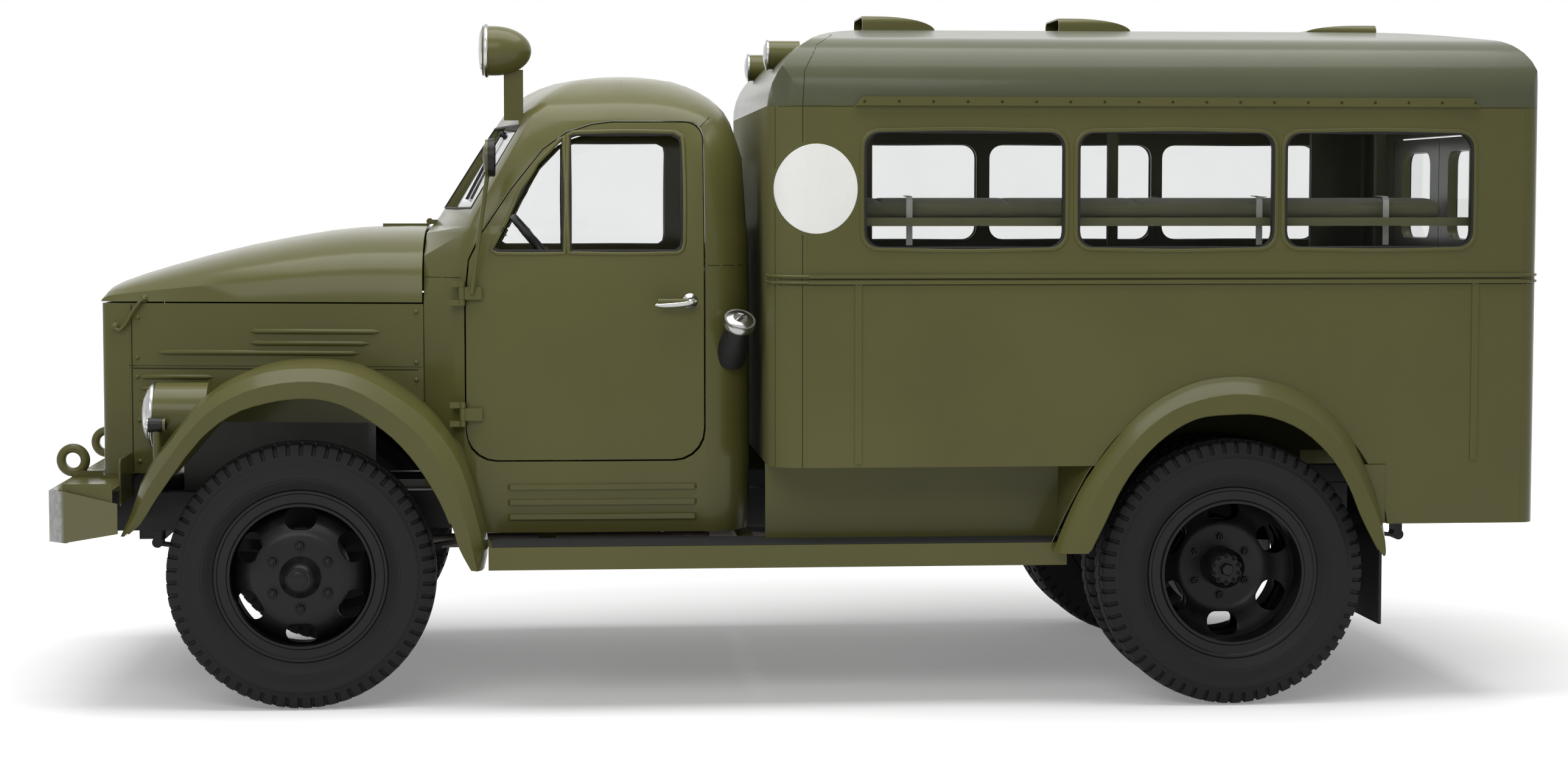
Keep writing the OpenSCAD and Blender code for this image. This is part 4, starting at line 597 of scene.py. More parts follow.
def tyre(shape, centre, half_w, radius):
    whole = [(-s, d, k) for s, d, k in reversed(TYRE_PROFILE)] + TYRE_PROFILE[1:]
    rings = []
    for pitch in range(TYRE_PITCHES):
        for place, cut in TYRE_STEPS:
            ring = []
            for s, d, kind in whole:
                turn = FULL_TURN * (pitch + place + (HALF_PITCH if s > 0 else 0.0)) / TYRE_PITCHES
                r = radius - d * MM
                y = s * half_w
                if cut and kind in (LUG, SHOULDER):
                    r -= LUG_DEPTH
                if cut and kind == SHOULDER:
                    y -= math.copysign(LUG_SIDE_DEPTH, s)
                if kind in (RIB, GROOVE) and s:
                    y += math.copysign(ZIGZAG, s if cut else -s)
                ring.append(centre + Vector((r * math.sin(turn), y, r * math.cos(turn))))
            rings.append(ring)
    shape.rings(rings, closed=True)


def tyres():
    for node in TYRES:
        shape = Shape()
        for solid in islands(node):
            low, high = limits(solid)
            tyre(shape, (low + high) / 2, (high.y - low.y) / 2, (high.z - low.z) / 2)
        obj = shape.make(node.replace("tyre", "treaded_tyre"), "tyre", body=node.replace("tyre", "wheel"))
        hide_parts(node)


# Wheel nuts: disc, wheel, place of the axle, and rows with the count, circle, radius and height of nuts
WHEEL_NUTS = [
    ("front_disc_", "front_wheel_", 0, [(6, 111, 17, 17), (1, 0, 31, 9)]),
    ("rear_discs_", "rear_wheels_", REAR_AXLE, [(6, 106, 15, 16), (10, 47, 8, 8), (1, 0, 24, 20)]),
]
WASHER_SHARES = (1.35, 1.3)
WASHER_T = 2 * MM
BOLT_SHARE = 0.55
BOLT_H = 8 * MM


def wheel_fittings():
    for side, name in SIDES:
        axis = Y * side
        for node, body, x, rows in WHEEL_NUTS:
            shape = Shape()
            for count, circle, r, h in rows:
                foot, rim = (r * share * MM for share in WASHER_SHARES)
                for dz, dx in round_section(circle, count):
                    base = on_side([node + name], side, x + dx, AXLE_Z + dz)[0] - axis * SUNK
                    shape.revolve(base, axis, [(foot, 0), (rim, WASHER_T)], steps=20)
                    shape.nut(base + axis * WASHER_T, axis, r * MM, h * MM)
                    if circle:
                        shape.stud(base + axis * h * MM, axis, r * BOLT_SHARE * MM, BOLT_H)
            shape.make(node.split("_")[0] + "_wheel_nuts_" + name, "chassis_black", body=body + name)


# Window rubbers, and the pressed frames and linings of the side windows
SEAL_STEP = 20 * MM
SEAL_PROBE = 6 * MM
SEAL_RAY = 600 * MM
SEAL_REACH = 80 * MM
SEAL_OUT = 2.4 * MM
SEAL_SECTION = low_section(4 * MM, 3.5 * MM, n=8)
BEZEL_OUT = 12.5 * MM
BEZEL_SECTION = low_section(8 * MM, 5.5 * MM, n=8)
# Lining: in from the edge of the pane, and out from the wall
LINING = in_metres([(-1, 1), (4, 1), (4, -12), (-1, -12)])
CAB_MIDDLE_X = 1000
# Panes at the ends, the body that carries them, and the wall round them
END_PANES = (
    ("cab_glass", "chassis", "cab_shell"),
    ("rear_door_glass_left", "rear_door_left", "rear_door_left"),
    ("rear_door_glass_right", "rear_door_right", "rear_door_right"),
)


def pane_edge(pane, wall, axis, sign):
    """Points of the wall round a pane that faces an axis, each with the way that leads off the pane."""
    low, high = limits(pane)
    middle = (low + high) / 2
    inward = Vector([-sign if i == axis else 0 for i in range(3)])
    outline = hull_loop(outer_pane(pane, axis, sign), *(i for i in range(3) if i != axis))
    edge = []
    for p in even(outline, SEAL_STEP, True):
        away = p - middle
        away[axis] = 0
        away.normalize()
        start = p + away * SEAL_PROBE
        start[axis] = middle[axis] + sign * SEAL_RAY
        found = hit([wall], start, inward)
        if found and abs(found[0][axis] - p[axis]) < SEAL_REACH:
            p[axis] = found[0][axis]
            edge.append((p, away))
    return edge


def side_windows(panes, wall, side, kind, body, name):
    """Rubbers round side windows, with a lining to the glass and a pressed frame outside it."""
    rubbers, bezels = Shape(), Shape()
    out = Y * side
    for pane in panes:
        edge = pane_edge(pane, wall, 1, side)
        rubbers.sweep([p + away * SEAL_OUT for p, away in edge], SEAL_SECTION, out, True)
        rubbers.rings([[p - away * k + out * h for k, h in LINING] for p, away in edge], closed=True)
        bezels.sweep([p + away * BEZEL_OUT for p, away in edge], BEZEL_SECTION, out, True)
    rubbers.make(kind + "_window_rubbers_" + name, "rubber", body=body)
    bezels.make(kind + "_window_frames_" + name, "olive", body=body)


def window_seals():
    for side, name in SIDES:
        panes = [pane for pane in islands("body_glass") if pane[0].y * side > 0]
        side_windows(panes, "body_sides", side, "body", "chassis", name)
        door = "door_" + name
        side_windows(islands("door_glass_" + name), door, side, "door", door, name)
    for node, body, wall in END_PANES:
        shape = Shape()
        for pane in islands(node):
            low, high = limits(pane)
            sign = 1 if (low.x + high.x) / 2 > at(CAB_MIDDLE_X, 0, 0).x else -1
            path = [p + away * SEAL_OUT for p, away in pane_edge(pane, wall, 0, sign)]
            shape.sweep(path, SEAL_SECTION, X * sign, True)
        shape.make(node + "_rubbers", "rubber", body=body)


# Blank white roundels
ROUNDEL = (1808, 1839)
ROUNDEL_HALF = (146, 158)
ROUNDEL_T = 1.2 * MM
ROUNDEL_RINGS = 22
ROUNDEL_STEPS = 72
ROUNDEL_SHARES = [0.02, *(k / ROUNDEL_RINGS for k in range(1, ROUNDEL_RINGS)), 0.985, 1.0]
GAP_REACH = 9


def over_gap(names, side, x, z, lift):
    """A point of the CAD surface, carried straight over a narrow gap between two panels."""
    middle, *beside = [on_side(names, side, x + step, z) for step in (0, -GAP_REACH, GAP_REACH)]
    found = [b for b in beside if b]
    depth = min(b[0].y * side for b in found)
    if middle and middle[0].y * side >= depth:
        return middle[0] + middle[1] * lift
    rim = at(x, 0, z)
    rim.y = side * depth
    return rim + found[0][1] * lift


@both_sides("roundel_", "white", "olive")
def roundels(shape, side):
    rings = []
    for share in ROUNDEL_SHARES:
        lift = ROUNDEL_T if share < 1 else -ROUNDEL_T
        rings.append([
            over_gap(["body_sides", "body_front"], side, ROUNDEL[0] + ROUNDEL_HALF[0] * c,
                     ROUNDEL[1] + ROUNDEL_HALF[1] * s * side, lift)
            for c, s in round_section(share, ROUNDEL_STEPS)])
    shape.rings(rings)


# Seams and gutter bolts drawn dark in painted shadow, and rivets, on the sheet metal
BODY_WALLS = ["body_sides", "body_front", "body_roof", "body_rear"]
CAB_WALLS = ["cab_shell"]
HOOD_WALLS = ["hood_sides", "grille"]
SEAM_STEP = 18
SEAM_H = 0.7 * MM
FINE_SEAM = low_section(1.6 * MM, SEAM_H, n=6)
OPEN_SEAM = low_section(2.7 * MM, SEAM_H, n=6)
# Walls, section, and the bends of each seam in x and z
SEAMS = [
    (BODY_WALLS, FINE_SEAM, [
        [(1668, 862), (1668, 1770)], [(1668, 1910), (1668, 2120)],
        [(1760, 862), (1760, 1678)], [(1760, 2000), (1760, 2128)],
        [(1760, 2128), (1768, 2250), (1820, 2345), (1905, 2400)],
        # Painted shadow along the roof's lower edge, beyond the gutters
        [(1668, 2126), (1940, 2126)], [(4172, 2126), (4385, 2126)],
        # Painted shadow under the lower waist bead and between the two beads
        [(1668, 1522.5), (4385, 1522.5)], [(1668, 1503), (4385, 1503)],
    ]),
    (CAB_WALLS, FINE_SEAM, [
        [(434, 1525), (566, 1525)],
        [(1392, 1980), (1408, 1760), (1410, 1600), (1424, 1567), (1570, 1567)],
        [(1380, 2010), (1420, 2062), (1470, 2110)],
    ]),
    (HOOD_WALLS, OPEN_SEAM, [[(-630, 800), (-630, 1440)], [(-630, 1192), (408, 1192)]]),
]
RIVETS = [
    (-607, 1376), (-611, 1231), (-612, 1161), (-605, 1004), (-605, 854), (-622, 780),
    (402, 1400), (402, 1218), (402, 1156),
]
RIVET_R = 9.5 * MM
RIVET_H = 7.125 * MM
GUTTER_BOLT_X = (1975, 4150)
GUTTER_BOLT_COUNT = 19
GUTTER_BOLT_Z = 2143
GUTTER_BOLT_R = 5 * MM
GUTTER_BOLT_H = 3 * MM
COVER_T = 1.5


def seam_shadow_line(shape, walls, side, points, section):
    """A dark line along the sheet in painted shadow: the shade in a pressed or welded joint, and under the waist
    beads.
    """
    dense = even([Vector((x, 0, z)) for x, z in points], SEAM_STEP, False)
    found = [spot for spot in (on_side(walls, side, p.x, p.z) for p in dense) if spot]
    if len(found) > 1:
        shape.sweep([place for place, _ in found], section, [normal for _, normal in found])


@both_sides("sheet_seam_shadows_", "seam_shadow_line", "olive")
def sheet_seam_shadows(shape, side):
    for walls, section, rows in SEAMS:
        for points in rows:
            seam_shadow_line(shape, walls, side, points, section)


@both_sides("panel_rivets_", "olive")
def panel_rivets(shape, side):
    for x, z in RIVETS:
        found = on_side(HOOD_WALLS, side, x, z)
        if found:
            shape.stud(found[0] - found[1] * SUNK, found[1], RIVET_R, RIVET_H)


# The bolts take the dark painted shadow colour, so their heads read as dark dots
@both_sides("gutter_bolts_", "seam_shadow_line", "olive")
def gutter_bolts(shape, side):
    x0, x1 = GUTTER_BOLT_X
    for k in range(GUTTER_BOLT_COUNT):
        x = x0 + (x1 - x0) * k / (GUTTER_BOLT_COUNT - 1)
        place, normal = on_side(["body_roof"], side, x, GUTTER_BOLT_Z)
        shape.stud(place + normal * COVER_T * MM, normal, GUTTER_BOLT_R, GUTTER_BOLT_H)


# Gutters, waist beads and wheel house ends of the body
BODY_HALF = 1050
GUTTER_X = (1945, 4169)
GUTTER_Z = (2130, 2158)
GUTTER_OUT = 14
BEAD_Z = (1511.5, 1533.5)
BEAD_OUT = 8
BEAD_SECTION = low_section(6.5 * MM, BEAD_OUT * MM, n=8)
BEAD_STEPS = 10
BEAD_RAY = 500 * MM
# Node, middle of the corner's round, way along x, and the turn in degrees
BEAD_CORNERS = (("body_front", 1775, 920, -1, 90), ("body_rear", 4337, 990, 1, 70))
# The rear fender's inner edge at both ends, in x and z
HOUSE_FRONT = [(2643, 590), (2662, 630), (2690, 690), (2716, 740), (2743, 790), (2768, 835), (2785, 860)]
HOUSE_REAR = [(3834, 649), (3828, 690), (3818, 730), (3804, 775), (3786, 820), (3768, 860)]
HOUSE_REAR_X = 3846
HOUSE_REAR_IN = 1
HOUSE_T = 3
SKIRT_END = (2702, 828)


@both_sides("gutter_cover_", "olive")
def gutter_covers(shape, side):
    """Body-coloured rain gutters over the roof's own."""
    x0, x1 = GUTTER_X
    z0, z1 = GUTTER_Z
    slant = z1 - z0
    outline = [(x0 - COVER_T, z0 - COVER_T, 1), (x1 + COVER_T, z0 - COVER_T, -1),
               (x1 - slant, z1 + COVER_T, -1), (x0 + slant, z1 + COVER_T, 1)]
    face = BODY_HALF + GUTTER_OUT
    rows = ((BODY_HALF - COVER_T, 0), (face, 0), (face + COVER_T, COVER_T))
    shape.rings([[at(x + way * chamfer, side * y, z) for x, z, way in outline] for y, chamfer in rows])


@both_sides("corner_beads_", "olive")
def corner_beads(shape, side):
    """The waist beads carried round the corners of the body."""
    for node, x, y, way, turn in BEAD_CORNERS:
        for z in BEAD_Z:
            path = [at(x - way * 2 * BEAD_OUT, side * BODY_HALF, z)]
            outs = [Y * side]
            for k in range(BEAD_STEPS + 1):
                t = math.radians(turn * k / BEAD_STEPS)
                out = Vector((way * math.sin(t), side * math.cos(t), 0))
                found = hit([node], at(x, side * y, z) + out * BEAD_RAY, -out)
                if found:
                    path.append(found[0])
                    outs.append(out)
            shape.sweep(path, BEAD_SECTION, outs)


@both_sides("wheel_house_ends_", "olive")
def wheel_house_ends(shape, side):
    """Plates from the rear fender to the skirt in front, and to the body behind."""
    skirt_x, skirt_y = SKIRT_END
    wall = BODY_HALF - HOUSE_T
    outer = BODY_HALF - HOUSE_REAR_IN
    shape.rings([[at(px, side * y, z) for px, y in (
        (skirt_x, skirt_y), (x, wall), (x + HOUSE_T, wall), (skirt_x + HOUSE_T, skirt_y))]
        for x, z in HOUSE_FRONT])
    shape.rings([[at(px, side * y, z) for px, y in (
        (x, outer), (HOUSE_REAR_X, outer), (HOUSE_REAR_X, outer - HOUSE_T), (x, outer - HOUSE_T))]
        for x, z in HOUSE_REAR])


# Webbing straps that hold the upper stretchers
STRAP_X = (2150, 3410, 3872)
STRAP_T = 2.5
STRAP_SECTION = bar_section(11 * MM, STRAP_T / 2 * MM)
STRAP_Z = (1640, 1812)
STRAP_BEND = 12
STRAP_LAP = (90, 3)
# Outward way at each point of a strap: y and z
STRAP_OUT = ((1, 0), (1, 0.3), (0.3, 1), (0, 1))


@both_sides("stretcher_straps_", "webbing", "canvas")
def stretcher_straps(shape, side):
    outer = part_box("stretcher_pads")[1].y / MM + 2 * STRAP_T
    foot, top = STRAP_Z
    path = [(outer, foot), (outer, top - STRAP_BEND), (outer - STRAP_BEND, top),
            (outer - STRAP_LAP[0], top + STRAP_LAP[1])]
    outs = [Vector((0, side * y, z)) for y, z in STRAP_OUT]
    for x in STRAP_X:
        shape.sweep([at(x, side * y, z) for y, z in path], STRAP_SECTION, outs)


# Rolled edges of the fenders: axle, lip from the middle, and the arc that is seen from the axle in degrees
FENDER_ROLLS = [
    ("front_fenders", 0, 958, -78, 72),
    ("rear_fenders", REAR_AXLE, 1120, -80, 80),
]
ROLL_R = 6
ROLL_STEP = 4


def fender_rolls():
    for node, x, lip, start, end in FENDER_ROLLS:
        for side, name in SIDES:
            path = []
            for turn in range(start, end + 1, ROLL_STEP):
                t = math.radians(turn)
                ray = Vector((math.sin(t), 0, math.cos(t)))
                found = hit([node], at(x, side * (lip - ROLL_R), AXLE_Z), ray)
                if found:
                    path.append(found[0])
            shape = Shape()
            shape.sweep(path, round_section(ROLL_R * MM), Y * side)
            shape.make(node + "_roll_" + name, "olive")


# Hood latches: rod by x, z and distance from the sheet, and its two studs
LATCH_WALLS = ["hood_sides", "grille", "hood"]
LATCH_ROD = [(-578, 1452, 10), (-592, 1438, 20), (-622, 1398, 22), (-648, 1352, 22), (-668, 1330, 22),
             (-684, 1334, 18), (-694, 1352, 10)]
LATCH_ROD_R = 6.5 * MM
LATCH_STEP = 12 * MM
LATCH_STUDS = ((-582, 1444), (-690, 1344))
LATCH_STUD = in_metres([(15, 0), (15, 5), (9, 9), (8, 22), (4, 25)])


@both_sides("hood_latch_", "olive")
def latches(shape, side):
    axis = Y * side
    path = [on_side(LATCH_WALLS, side, x, z)[0] + axis * out * MM for x, z, out in LATCH_ROD]
    shape.sweep(even(path, LATCH_STEP, False), round_section(LATCH_ROD_R), axis)
    for x, z in LATCH_STUDS:
        base = on_side(LATCH_WALLS, side, x, z)[0] - axis * SUNK
        shape.revolve(base, axis, LATCH_STUD, steps=16)


# Door handles
HANDLE_ROOT = (1378, 1441)
HANDLE_TIP = (1252, 1428)
HANDLE_PROBE = 30
HANDLE_BOSS = in_metres([(27, -2), (27, 3), (21, 8), (14, 14), (14, 44), (9, 60), (2, 63)])
HANDLE_OUT = 45 * MM
HANDLE_HEEL = Vector((22, 0, 2)) * MM
HANDLE_SAG = 4 * MM
HANDLE_R = (16, 11)
HANDLE_FLAT = 0.9
HANDLE_PINCH = (0.7, 0.75)
HANDLE_PINCH_POWER = 14
HANDLE_STEPS = 12


def handle_radius(t):
    """Thickness of the grip from its root (0) to its tip (1), drawn in at both ends."""
    root, tip = HANDLE_R
    r = (root + (tip - root) * t) * MM
    for share, near in zip(HANDLE_PINCH, (1 - t, t)):
        r *= 1 - share * near ** HANDLE_PINCH_POWER
    return r


def door_handles():
    for side, name in SIDES:
        door = "door_" + name
        wall = on_side([door], side, HANDLE_ROOT[0] + HANDLE_PROBE, HANDLE_ROOT[1] + HANDLE_PROBE)[0]
        base, tip = (at(x, 0, z) for x, z in (HANDLE_ROOT, HANDLE_TIP))
        base.y = tip.y = wall.y
        shape = Shape()
        shape.revolve(base, Y * side, HANDLE_BOSS, steps=28)
        rings = []
        for k in range(HANDLE_STEPS + 1):
            t = k / HANDLE_STEPS
            middle = (base + HANDLE_HEEL).lerp(tip, t) + Y * side * HANDLE_OUT
            middle.z -= HANDLE_SAG * math.sin(math.pi * t)
            rings.append([middle + Vector((0, c * HANDLE_FLAT, s)) * side
                          for c, s in round_section(handle_radius(t), n=16)])
        shape.rings(rings)
        shape.make("door_handle_" + name, "bright_steel", body=door)


# Lamp rims, by the greatest radius of a lens: ring, tube and place behind the lens
SIDE_LAMP_R = 30
LAMP_RIMS = [(SIDE_LAMP_R, 21.5, 4, 1), (60, 50, 6, 3), (90, 89, 9, 14), (math.inf, 110.5, 10.6, 7)]
SIDE_LAMP_SHELL = in_metres([(20, 1), (25.5, 3), (26, 44), (23, 58), (14, 66), (3, 68)])


def lamp_rims():
    rims, shells = Shape(), Shape()
    for lens in islands("lamp_lenses"):
        low, high = limits(lens)
        r = (high.z - low.z) / 2 / MM
        _, ring_r, tube_r, behind = next(row for row in LAMP_RIMS if r < row[0])
        back = Vector((high.x, (low.y + high.y) / 2, (low.z + high.z) / 2))
        rims.torus(back + X * behind * MM, ring_r * MM, tube_r * MM, steps=64)
        if r < SIDE_LAMP_R:
            shells.revolve(back, X, SIDE_LAMP_SHELL, steps=32)
    rims.make("lamp_rims", "bright_steel")
    shells.make("side_lamp_shells", "chassis_black")


# Mirror on the left door
MIRROR = (672, -880, 1949)
MIRROR_SHELL = in_metres([(6, -24), (40, -21), (60, -12), (67, 2), (67, 17), (62, 20), (60, 17.5)])
MIRROR_GLASS = in_metres([(61, 17), (61, 18), (30, 18.8), (2, 19)])


def mirror():
    for name, profile, look in (("mirror_shell", MIRROR_SHELL, "chassis_black"),
                                ("mirror_glass", MIRROR_GLASS, "bright_steel")):
        shape = Shape()
        shape.revolve(at(*MIRROR), X, profile, steps=40)
        shape.make(name, look, body="door_left")


# Fuel filler: the sleeve's radius by share of its length, the cap, and the cap's grip across and up
FILLER_FOOT = (1523, -770, 1228)
FILLER_TOP = (1548, -868, 1358)
FILLER_SLEEVE = [(54, 0.0), (55, 0.25), (52, 0.5), (44, 0.8), (40, 0.92), (33, 0.97)]
FILLER_CAP = in_metres([(57.5, -1), (58.5, 8), (56, 20), (45, 29), (26, 33), (24, 30), (3, 30)])
FILLER_GRIP = in_metres([(-22, 31), (0, 36), (22, 31)])
FILLER_GRIP_R = 5 * MM


def filler_sleeve():
    foot, top = at(*FILLER_FOOT), at(*FILLER_TOP)
    length = (top - foot).length
    axis = (top - foot).normalized()
    shape = Shape()
    shape.revolve(foot, axis, [(r * MM, length * share) for r, share in FILLER_SLEEVE], steps=36)
    shape.make("filler_sleeve", "rubber")
    shape = Shape()
    shape.revolve(top, axis, FILLER_CAP, steps=48)
    side = axis.orthogonal().normalized()
    shape.sweep([top + side * a + axis * h for a, h in FILLER_GRIP], round_section(FILLER_GRIP_R), axis)
    shape.make("filler_cap", "bright_steel")


# Running board mats
MAT_IN = 10
MAT_INNER = 770
MAT_Z = (-1, 2)
MAT_RIBS = 17
MAT_RIB_HALF = 3.4
# Section of a rib: share of its half width, and height
MAT_RIB = ((-1, 1), (-0.6, 4.5), (0.6, 4.5), (1, 1))
MAT_RAY = 1.0


def board_mats():
    for solid in islands("running_boards"):
        low, high = limits(solid)
        side, name = SIDES[0] if low.y < 0 else SIDES[1]
        outer = max(abs(low.y), abs(high.y)) / MM - MAT_IN
        ends = low.x + MAT_IN * MM, high.x - MAT_IN * MM
        above = Vector((sum(ends) / 2, side * (outer + MAT_INNER) / 2 * MM, high.z + MAT_RAY))
        top = hit(["running_boards"], above, -Z)[0].z
        foot, face = MAT_Z
        shape = Shape()

        def bar(section):
            shape.rings([[Vector((x, side * y * MM, top + h * MM)) for y, h in section] for x in ends])

        bar([(MAT_INNER, foot), (MAT_INNER, face), (outer, face), (outer, foot)])
        for k in range(MAT_RIBS):
            y = MAT_INNER + MAT_RIB_HALF + (outer - MAT_INNER - 2 * MAT_RIB_HALF) * k / (MAT_RIBS - 1)
            bar([(y + share * MAT_RIB_HALF, h) for share, h in MAT_RIB])
        shape.make("board_mat_" + name, "rubber")


# Windscreen wipers: ends in y and z
WIPER_TOP = (210, 2035)
WIPER_TIP = (330, 1800)
WIPER_FROM_X = -400
WIPER_STEPS = 8
WIPER_OFF = 9 * MM
WIPER_ARM_R = 3.2 * MM
WIPER_HUB = in_metres([(11, -12), (11, 8), (8, 14), (2, 16)])
WIPER_HUB_IN = Vector((12, 0, 4)) * MM
WIPER_HUB_AXIS = Vector((-1, 0, 0.4))
BLADE_FROM = 3
BLADE_SHIFT = (2 * MM, 6 * MM)
BLADE_SECTION = in_metres([(-2, -7), (2, -7), (3, 2), (-3, 2)])


def wipers():
    shape = Shape()
    for side, _ in SIDES:
        path = []
        for k in range(WIPER_STEPS + 1):
            t = k / WIPER_STEPS
            y, z = (a + (b - a) * t for a, b in zip(WIPER_TOP, WIPER_TIP))
            place, normal = hit(["cab_shell", "cab_glass"], at(WIPER_FROM_X, side * y, z), X)
            path.append(place + normal * WIPER_OFF)
        shape.sweep(path, round_section(WIPER_ARM_R, n=8), -X)
        shift = Vector((BLADE_SHIFT[0], side * BLADE_SHIFT[1], 0))
        shape.sweep([p + shift for p in path[BLADE_FROM:]], BLADE_SECTION, -X)
        shape.revolve(path[0] + WIPER_HUB_IN, WIPER_HUB_AXIS, WIPER_HUB, steps=16)
    shape.make("wipers", "chassis_black")


# Guard plate beside the grille
GUARD_X = -640
GUARD_Y = (-750, -420)
GUARD_Z = (720, 881)
GUARD_T = 4
GUARD_R = 16
GUARD_EDGE_R = 3.6 * MM
QUARTER = 90
QUARTER_STEPS = (0, 30, 60, 90)


def guard_plate():
    y0, y1 = GUARD_Y[0] + GUARD_R, GUARD_Y[1] - GUARD_R
    z0, z1 = GUARD_Z[0] + GUARD_R, GUARD_Z[1] - GUARD_R
    outline = []
    for k, (y, z) in enumerate(((y1, z1), (y0, z1), (y0, z0), (y1, z0))):
        for step in QUARTER_STEPS:
            t = math.radians(QUARTER * k + step)
            outline.append((y + GUARD_R * math.cos(t), z + GUARD_R * math.sin(t)))
    shape = Shape()
    shape.rings([[at(GUARD_X + x, y, z) for y, z in outline] for x in (-GUARD_T / 2, GUARD_T / 2)])
    shape.sweep([at(GUARD_X, y, z) for y, z in outline], round_section(GUARD_EDGE_R, n=8), -X, True)
    shape.make("guard_plate", "olive")


# Apron between the bumper and the grille, with the sill under the grille and a curb at both ends
APRON_Z = (786, 791)
APRON_REAR_X = -642
APRON_HALF = 930
APRON_STEP = 30
APRON_SUNK = 3
SILL = [(-754, 788), (-738, 805), (-642, 805), (-642, 788)]
SILL_HALF = 490
# Place in x and rise over the apron
CURB = ((-828, 0), (-812, 24), (-640, 24))
CURB_FOOT = 700
CURB_T = 7
CURB_SUNK = 2


def front_apron():
    shape = Shape()
    foot, face = APRON_Z
    rows = []
    for y in range(-APRON_HALF, APRON_HALF + 1, APRON_STEP):
        rear = at(APRON_REAR_X, y, foot)
        edge = hit(["front_bumper"], rear, -X)[0].x - APRON_SUNK * MM
        rows.append([Vector((x, y * MM, z * MM)) for x, z in (
            (edge, foot), (edge, face), (rear.x, face), (rear.x, foot))])
    shape.rings(rows)
    shape.rings([[at(x, y, z) for x, z in SILL] for y in (-SILL_HALF, SILL_HALF)])
    for side, _ in SIDES:
        rows = []
        for x, rise in CURB:
            wing = hit(["front_bumper"], at(x, side * SILL_HALF, CURB_FOOT), Y * side)[0]
            outer = wing.y / MM + side * CURB_SUNK
            inner = outer - side * CURB_T
            top = face + rise
            rows.append([at(x, y, z) for y, z in (
                (outer, CURB_FOOT), (outer, top), (inner, top), (inner, CURB_FOOT))])
        shape.rings(rows)
    shape.make("front_apron", "olive")


# Soft pads, in metres. Channels are sewn lines, as shares of the half length from the middle.
PRESSURE = 4.0
BLOW_FRAMES = 20
PAD_ROUND = 0.018
CHANNEL_HALF = 0.011
X_AXIS, Z_AXIS = 0, 2
STRETCHER_PAD = {"voxel": 0.02, "cap": 0.014, "depth": 0.012, "channels": (-0.8, -0.4, 0.0, 0.4, 0.8)}
BENCH_PAD = {
    "voxel": 0.014, "cap": 0.018, "depth": 0.014, "channels": (-0.75, -0.5, -0.25, 0.0, 0.25, 0.5, 0.75),
}
BENCH_Z = (1000, 1120)
BENCH_BACK_X = 1400
BENCH_GAP = 16 * MM
BASE_IN = (30 * MM, 20 * MM)
# Upper rows of the bench's base: height over the cushion's underside, and step inwards
BASE_ROWS = in_metres([(-20, 0), (-6, 12)])


def worked(mesh, kind, frames=1, tune=None, **values):
    """The mesh after one modifier that is run on a scratch object."""
    scene = bpy.context.scene
    obj = add_object("scratch", mesh)
    step = obj.modifiers.new(kind.lower(), kind)
    for key, value in values.items():
        setattr(step, key, value)
    if tune:
        tune(step)
    for number in range(1, frames + 1):
        scene.frame_set(number)
    graph = bpy.context.evaluated_depsgraph_get()
    done = bpy.data.meshes.new_from_object(obj.evaluated_get(graph))
    bpy.data.objects.remove(obj)
    scene.frame_set(1)
    return done


def blown_up(cloth):
    """Ticking under the pressure of its stuffing."""
    cloth.point_cache.frame_end = BLOW_FRAMES
    cloth.settings.use_pressure = True
    cloth.settings.uniform_pressure_force = PRESSURE
    cloth.settings.effector_weights.gravity = 0.0


def rounded_block(low, high):
    form = bmesh.new()
    bmesh.ops.create_cube(form, size=1.0)
    size, centre = high - low, (high + low) / 2
    for v in form.verts:
        v.co = centre + Vector([v.co[i] * size[i] for i in range(3)])
    bmesh.ops.bevel(form, geom=form.edges[:], offset=PAD_ROUND, segments=3, profile=0.5, affect="EDGES")
    mesh = bpy.data.meshes.new("pad_block")
    form.to_mesh(mesh)
    form.free()
    return mesh


def stuffed(low, high, axis, sign, voxel, cap, channels, depth):
    """A pad that swells to fill its space, rests flat on one side and is sewn across the other."""
    room = Vector((cap, cap, cap))
    start_low, start_high = low + room, high - room
    if sign > 0:
        start_low[axis] = low[axis]
    else:
        start_high[axis] = high[axis]
    skin = worked(rounded_block(start_low, start_high), "REMESH", mode="VOXEL", voxel_size=voxel)
    swollen = worked(skin, "CLOTH", BLOW_FRAMES, blown_up)
    for v, target in zip(skin.vertices, swollen.vertices):
        move = target.co - v.co
        v.co += move * (cap / max(move.length, cap))
    fine = worked(skin, "SUBSURF", levels=1)
    along = max((i for i in range(3) if i != axis), key=lambda i: high[i] - low[i])
    half, middle = (high - low) / 2, (high + low) / 2
    for v in fine.vertices:
        v.co = [max(low[i], min(high[i], v.co[i])) for i in range(3)]
        share = (v.co - middle)[along] / half[along]
        proud = max(0.0, (v.co - middle)[axis] * sign / half[axis])
        sewn = sum(math.exp(-((share - c) * half[along] / CHANNEL_HALF) ** 2) for c in channels)
        v.co[axis] -= sign * depth * proud * min(sewn, 1.0)
    return [v.co.copy() for v in fine.vertices], [tuple(p.vertices) for p in fine.polygons]


def stretcher_pads():
    """One pad is made and set at every stretcher."""
    first = None
    for k, solid in enumerate(islands("stretcher_pads")):
        low, high = limits(solid)
        if first is None:
            first = low
            verts, faces = stuffed(low, high, Z_AXIS, 1, **STRETCHER_PAD)
        moved = [v + low - first for v in verts]
        obj = piece(f"stretcher_pad_{k}", moved, faces, "chassis", "canvas")
        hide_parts("stretcher_pads")


